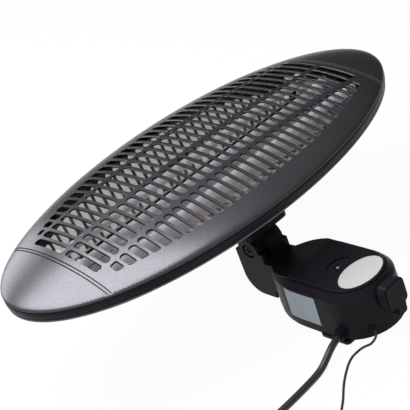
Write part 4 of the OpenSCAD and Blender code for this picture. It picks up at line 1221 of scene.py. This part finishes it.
class HEATER_OT_knob(bpy.types.Operator):
    """Finishes the selector knob and its spindle"""
    bl_idname = "heater.knob"
    bl_label = "Selector knob"

    def execute(self, context):
        black = finish("black_plastic", context.scene.heater_box.plastic)
        dress(black, "selector_knob", edge=0.0005, segments=3)
        dress(finish("zinc_steel"), "knob_spindle", edge=0.0002)
        return {"FINISHED"}


# Stage

def soft_lamp(name, place, aim, size, watts):
    """A rectangular softbox at a place, turned towards its aim."""
    data = bpy.data.lights.new(name, "AREA")
    data.shape = "RECTANGLE"
    data.size, data.size_y = size
    data.energy = watts
    lamp = bpy.data.objects.new(name, data)
    lamp.location = place
    lamp.rotation_mode = "QUATERNION"
    lamp.rotation_quaternion = (Vector(aim) - Vector(place)).to_track_quat("-Z", "Y")
    bpy.context.scene.collection.objects.link(lamp)


def floor_material(colour_of_floor):
    """A pale floor that takes shadows, and that camera and mirrored rays see as white."""
    material = bpy.data.materials.new("pale_floor")
    material.use_nodes = True
    tree = material.node_tree
    shader = tree.nodes["Principled BSDF"]
    shader.inputs["Base Color"].default_value = (*colour_of_floor, 1)
    shader.inputs["Roughness"].default_value = 0.9
    shader.inputs["Specular IOR Level"].default_value = 0.0
    white = add_node(tree, "ShaderNodeEmission", {"Color": (1, 1, 1, 1)})
    path = add_node(tree, "ShaderNodeLightPath")
    either = add_node(tree, "ShaderNodeMath", operation="MAXIMUM")
    seen = add_node(tree, "ShaderNodeMath", operation="MAXIMUM")
    share = add_node(tree, "ShaderNodeMath", {1: FLOOR_SEEN_WHITE}, operation="MULTIPLY")
    mix = add_node(tree, "ShaderNodeMixShader")
    connect(
        tree,
        (path, "Is Camera Ray", either, 0),
        (path, "Is Glossy Ray", either, 1),
        (either, 0, seen, 0),
        (path, "Is Transmission Ray", seen, 1),
        (seen, 0, share, 0),
        (share, 0, mix, "Fac"),
        (shader, "BSDF", mix, 1),
        (white, "Emission", mix, 2),
        (mix, "Shader", tree.nodes["Material Output"], "Surface"))
    return material


def light_room(dark, light):
    """A white room whose light falls off towards the right and below."""
    world = bpy.data.worlds.new("room")
    bpy.context.scene.world = world
    world.use_nodes = True
    tree = world.node_tree
    background = tree.nodes["Background"]
    background.inputs["Color"].default_value = (1, 1, 1, 1)
    place = add_node(tree, "ShaderNodeTexCoord")
    lean = add_node(tree, "ShaderNodeVectorMath", {1: ROOM_LEAN}, operation="DOT_PRODUCT")
    level = add_node(tree, "ShaderNodeMapRange", {
        "From Min": ROOM_DARK_AT, "From Max": ROOM_LIGHT_AT, "To Min": dark, "To Max": light})
    connect(
        tree,
        (place, "Generated", lean, 0),
        (lean, "Value", level, "Value"),
        (level, "Result", background, "Strength"))


class HEATER_OT_stage(bpy.types.Operator):
    """Lays the pale floor and sets the lamps and the world"""
    bl_idname = "heater.stage"
    bl_label = "Stage"

    def execute(self, context):
        stage = context.scene.heater_stage
        corners = [(x * FLOOR_REACH, y * FLOOR_REACH, FLOOR_HEIGHT)
                   for x, y in ((-1, -1), (1, -1), (1, 1), (-1, 1))]
        floor = from_lists("floor", corners, [(0, 1, 2, 3)], [floor_material(stage.floor)])
        light_room(stage.room_dark, stage.room_light)
        soft_lamp("key", place=(-0.23, 0.45, 1.05), aim=(-0.23, 0.45, 0), size=(0.72, 1.3),
                  watts=stage.key_power)
        soft_lamp("back", place=(-0.18, 1.7, 0.60), aim=(-0.18, 0, 0.40), size=(0.85, 0.7),
                  watts=stage.back_power)
        context.scene.view_settings.view_transform = "Standard"
        return {"FINISHED"}


# Add-on

STEPS = (
    HEATER_OT_camera, HEATER_OT_cords, HEATER_OT_front_cover, HEATER_OT_rear_cover,
    HEATER_OT_tubes, HEATER_OT_control_box, HEATER_OT_knob, HEATER_OT_stage,
)
SETTINGS = (
    ("heater_head", HeadSettings), ("heater_tubes", TubeSettings),
    ("heater_box", BoxSettings), ("heater_cords", CordSettings),
    ("heater_stage", StageSettings),
)


class HEATER_PT_panel(bpy.types.Panel):
    """Lists the heater's settings and steps in the sidebar"""
    bl_idname = "HEATER_PT_panel"
    bl_label = "Wall quartz heater"
    bl_space_type = "VIEW_3D"
    bl_region_type = "UI"
    bl_category = "Heater"

    def draw(self, context):
        for attribute, group in SETTINGS:
            part = self.layout.box()
            for name in group.__annotations__:
                part.prop(getattr(context.scene, attribute), name)
        for step in STEPS:
            self.layout.operator(step.bl_idname)


def register():
    for attribute, group in SETTINGS:
        bpy.utils.register_class(group)
        setattr(bpy.types.Scene, attribute, bpy.props.PointerProperty(type=group))
    for step in STEPS:
        bpy.utils.register_class(step)
    bpy.utils.register_class(HEATER_PT_panel)


def unregister():
    bpy.utils.unregister_class(HEATER_PT_panel)
    for step in reversed(STEPS):
        bpy.utils.unregister_class(step)
    for attribute, group in reversed(SETTINGS):
        delattr(bpy.types.Scene, attribute)
        bpy.utils.unregister_class(group)


def main():
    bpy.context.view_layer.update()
    register()
    bpy.ops.heater.camera()
    bpy.ops.heater.cords()
    bpy.ops.heater.front_cover()
    bpy.ops.heater.rear_cover()
    bpy.ops.heater.tubes()
    bpy.ops.heater.control_box()
    bpy.ops.heater.knob()
    bpy.ops.heater.stage()


if __name__ == "__main__":
    main()
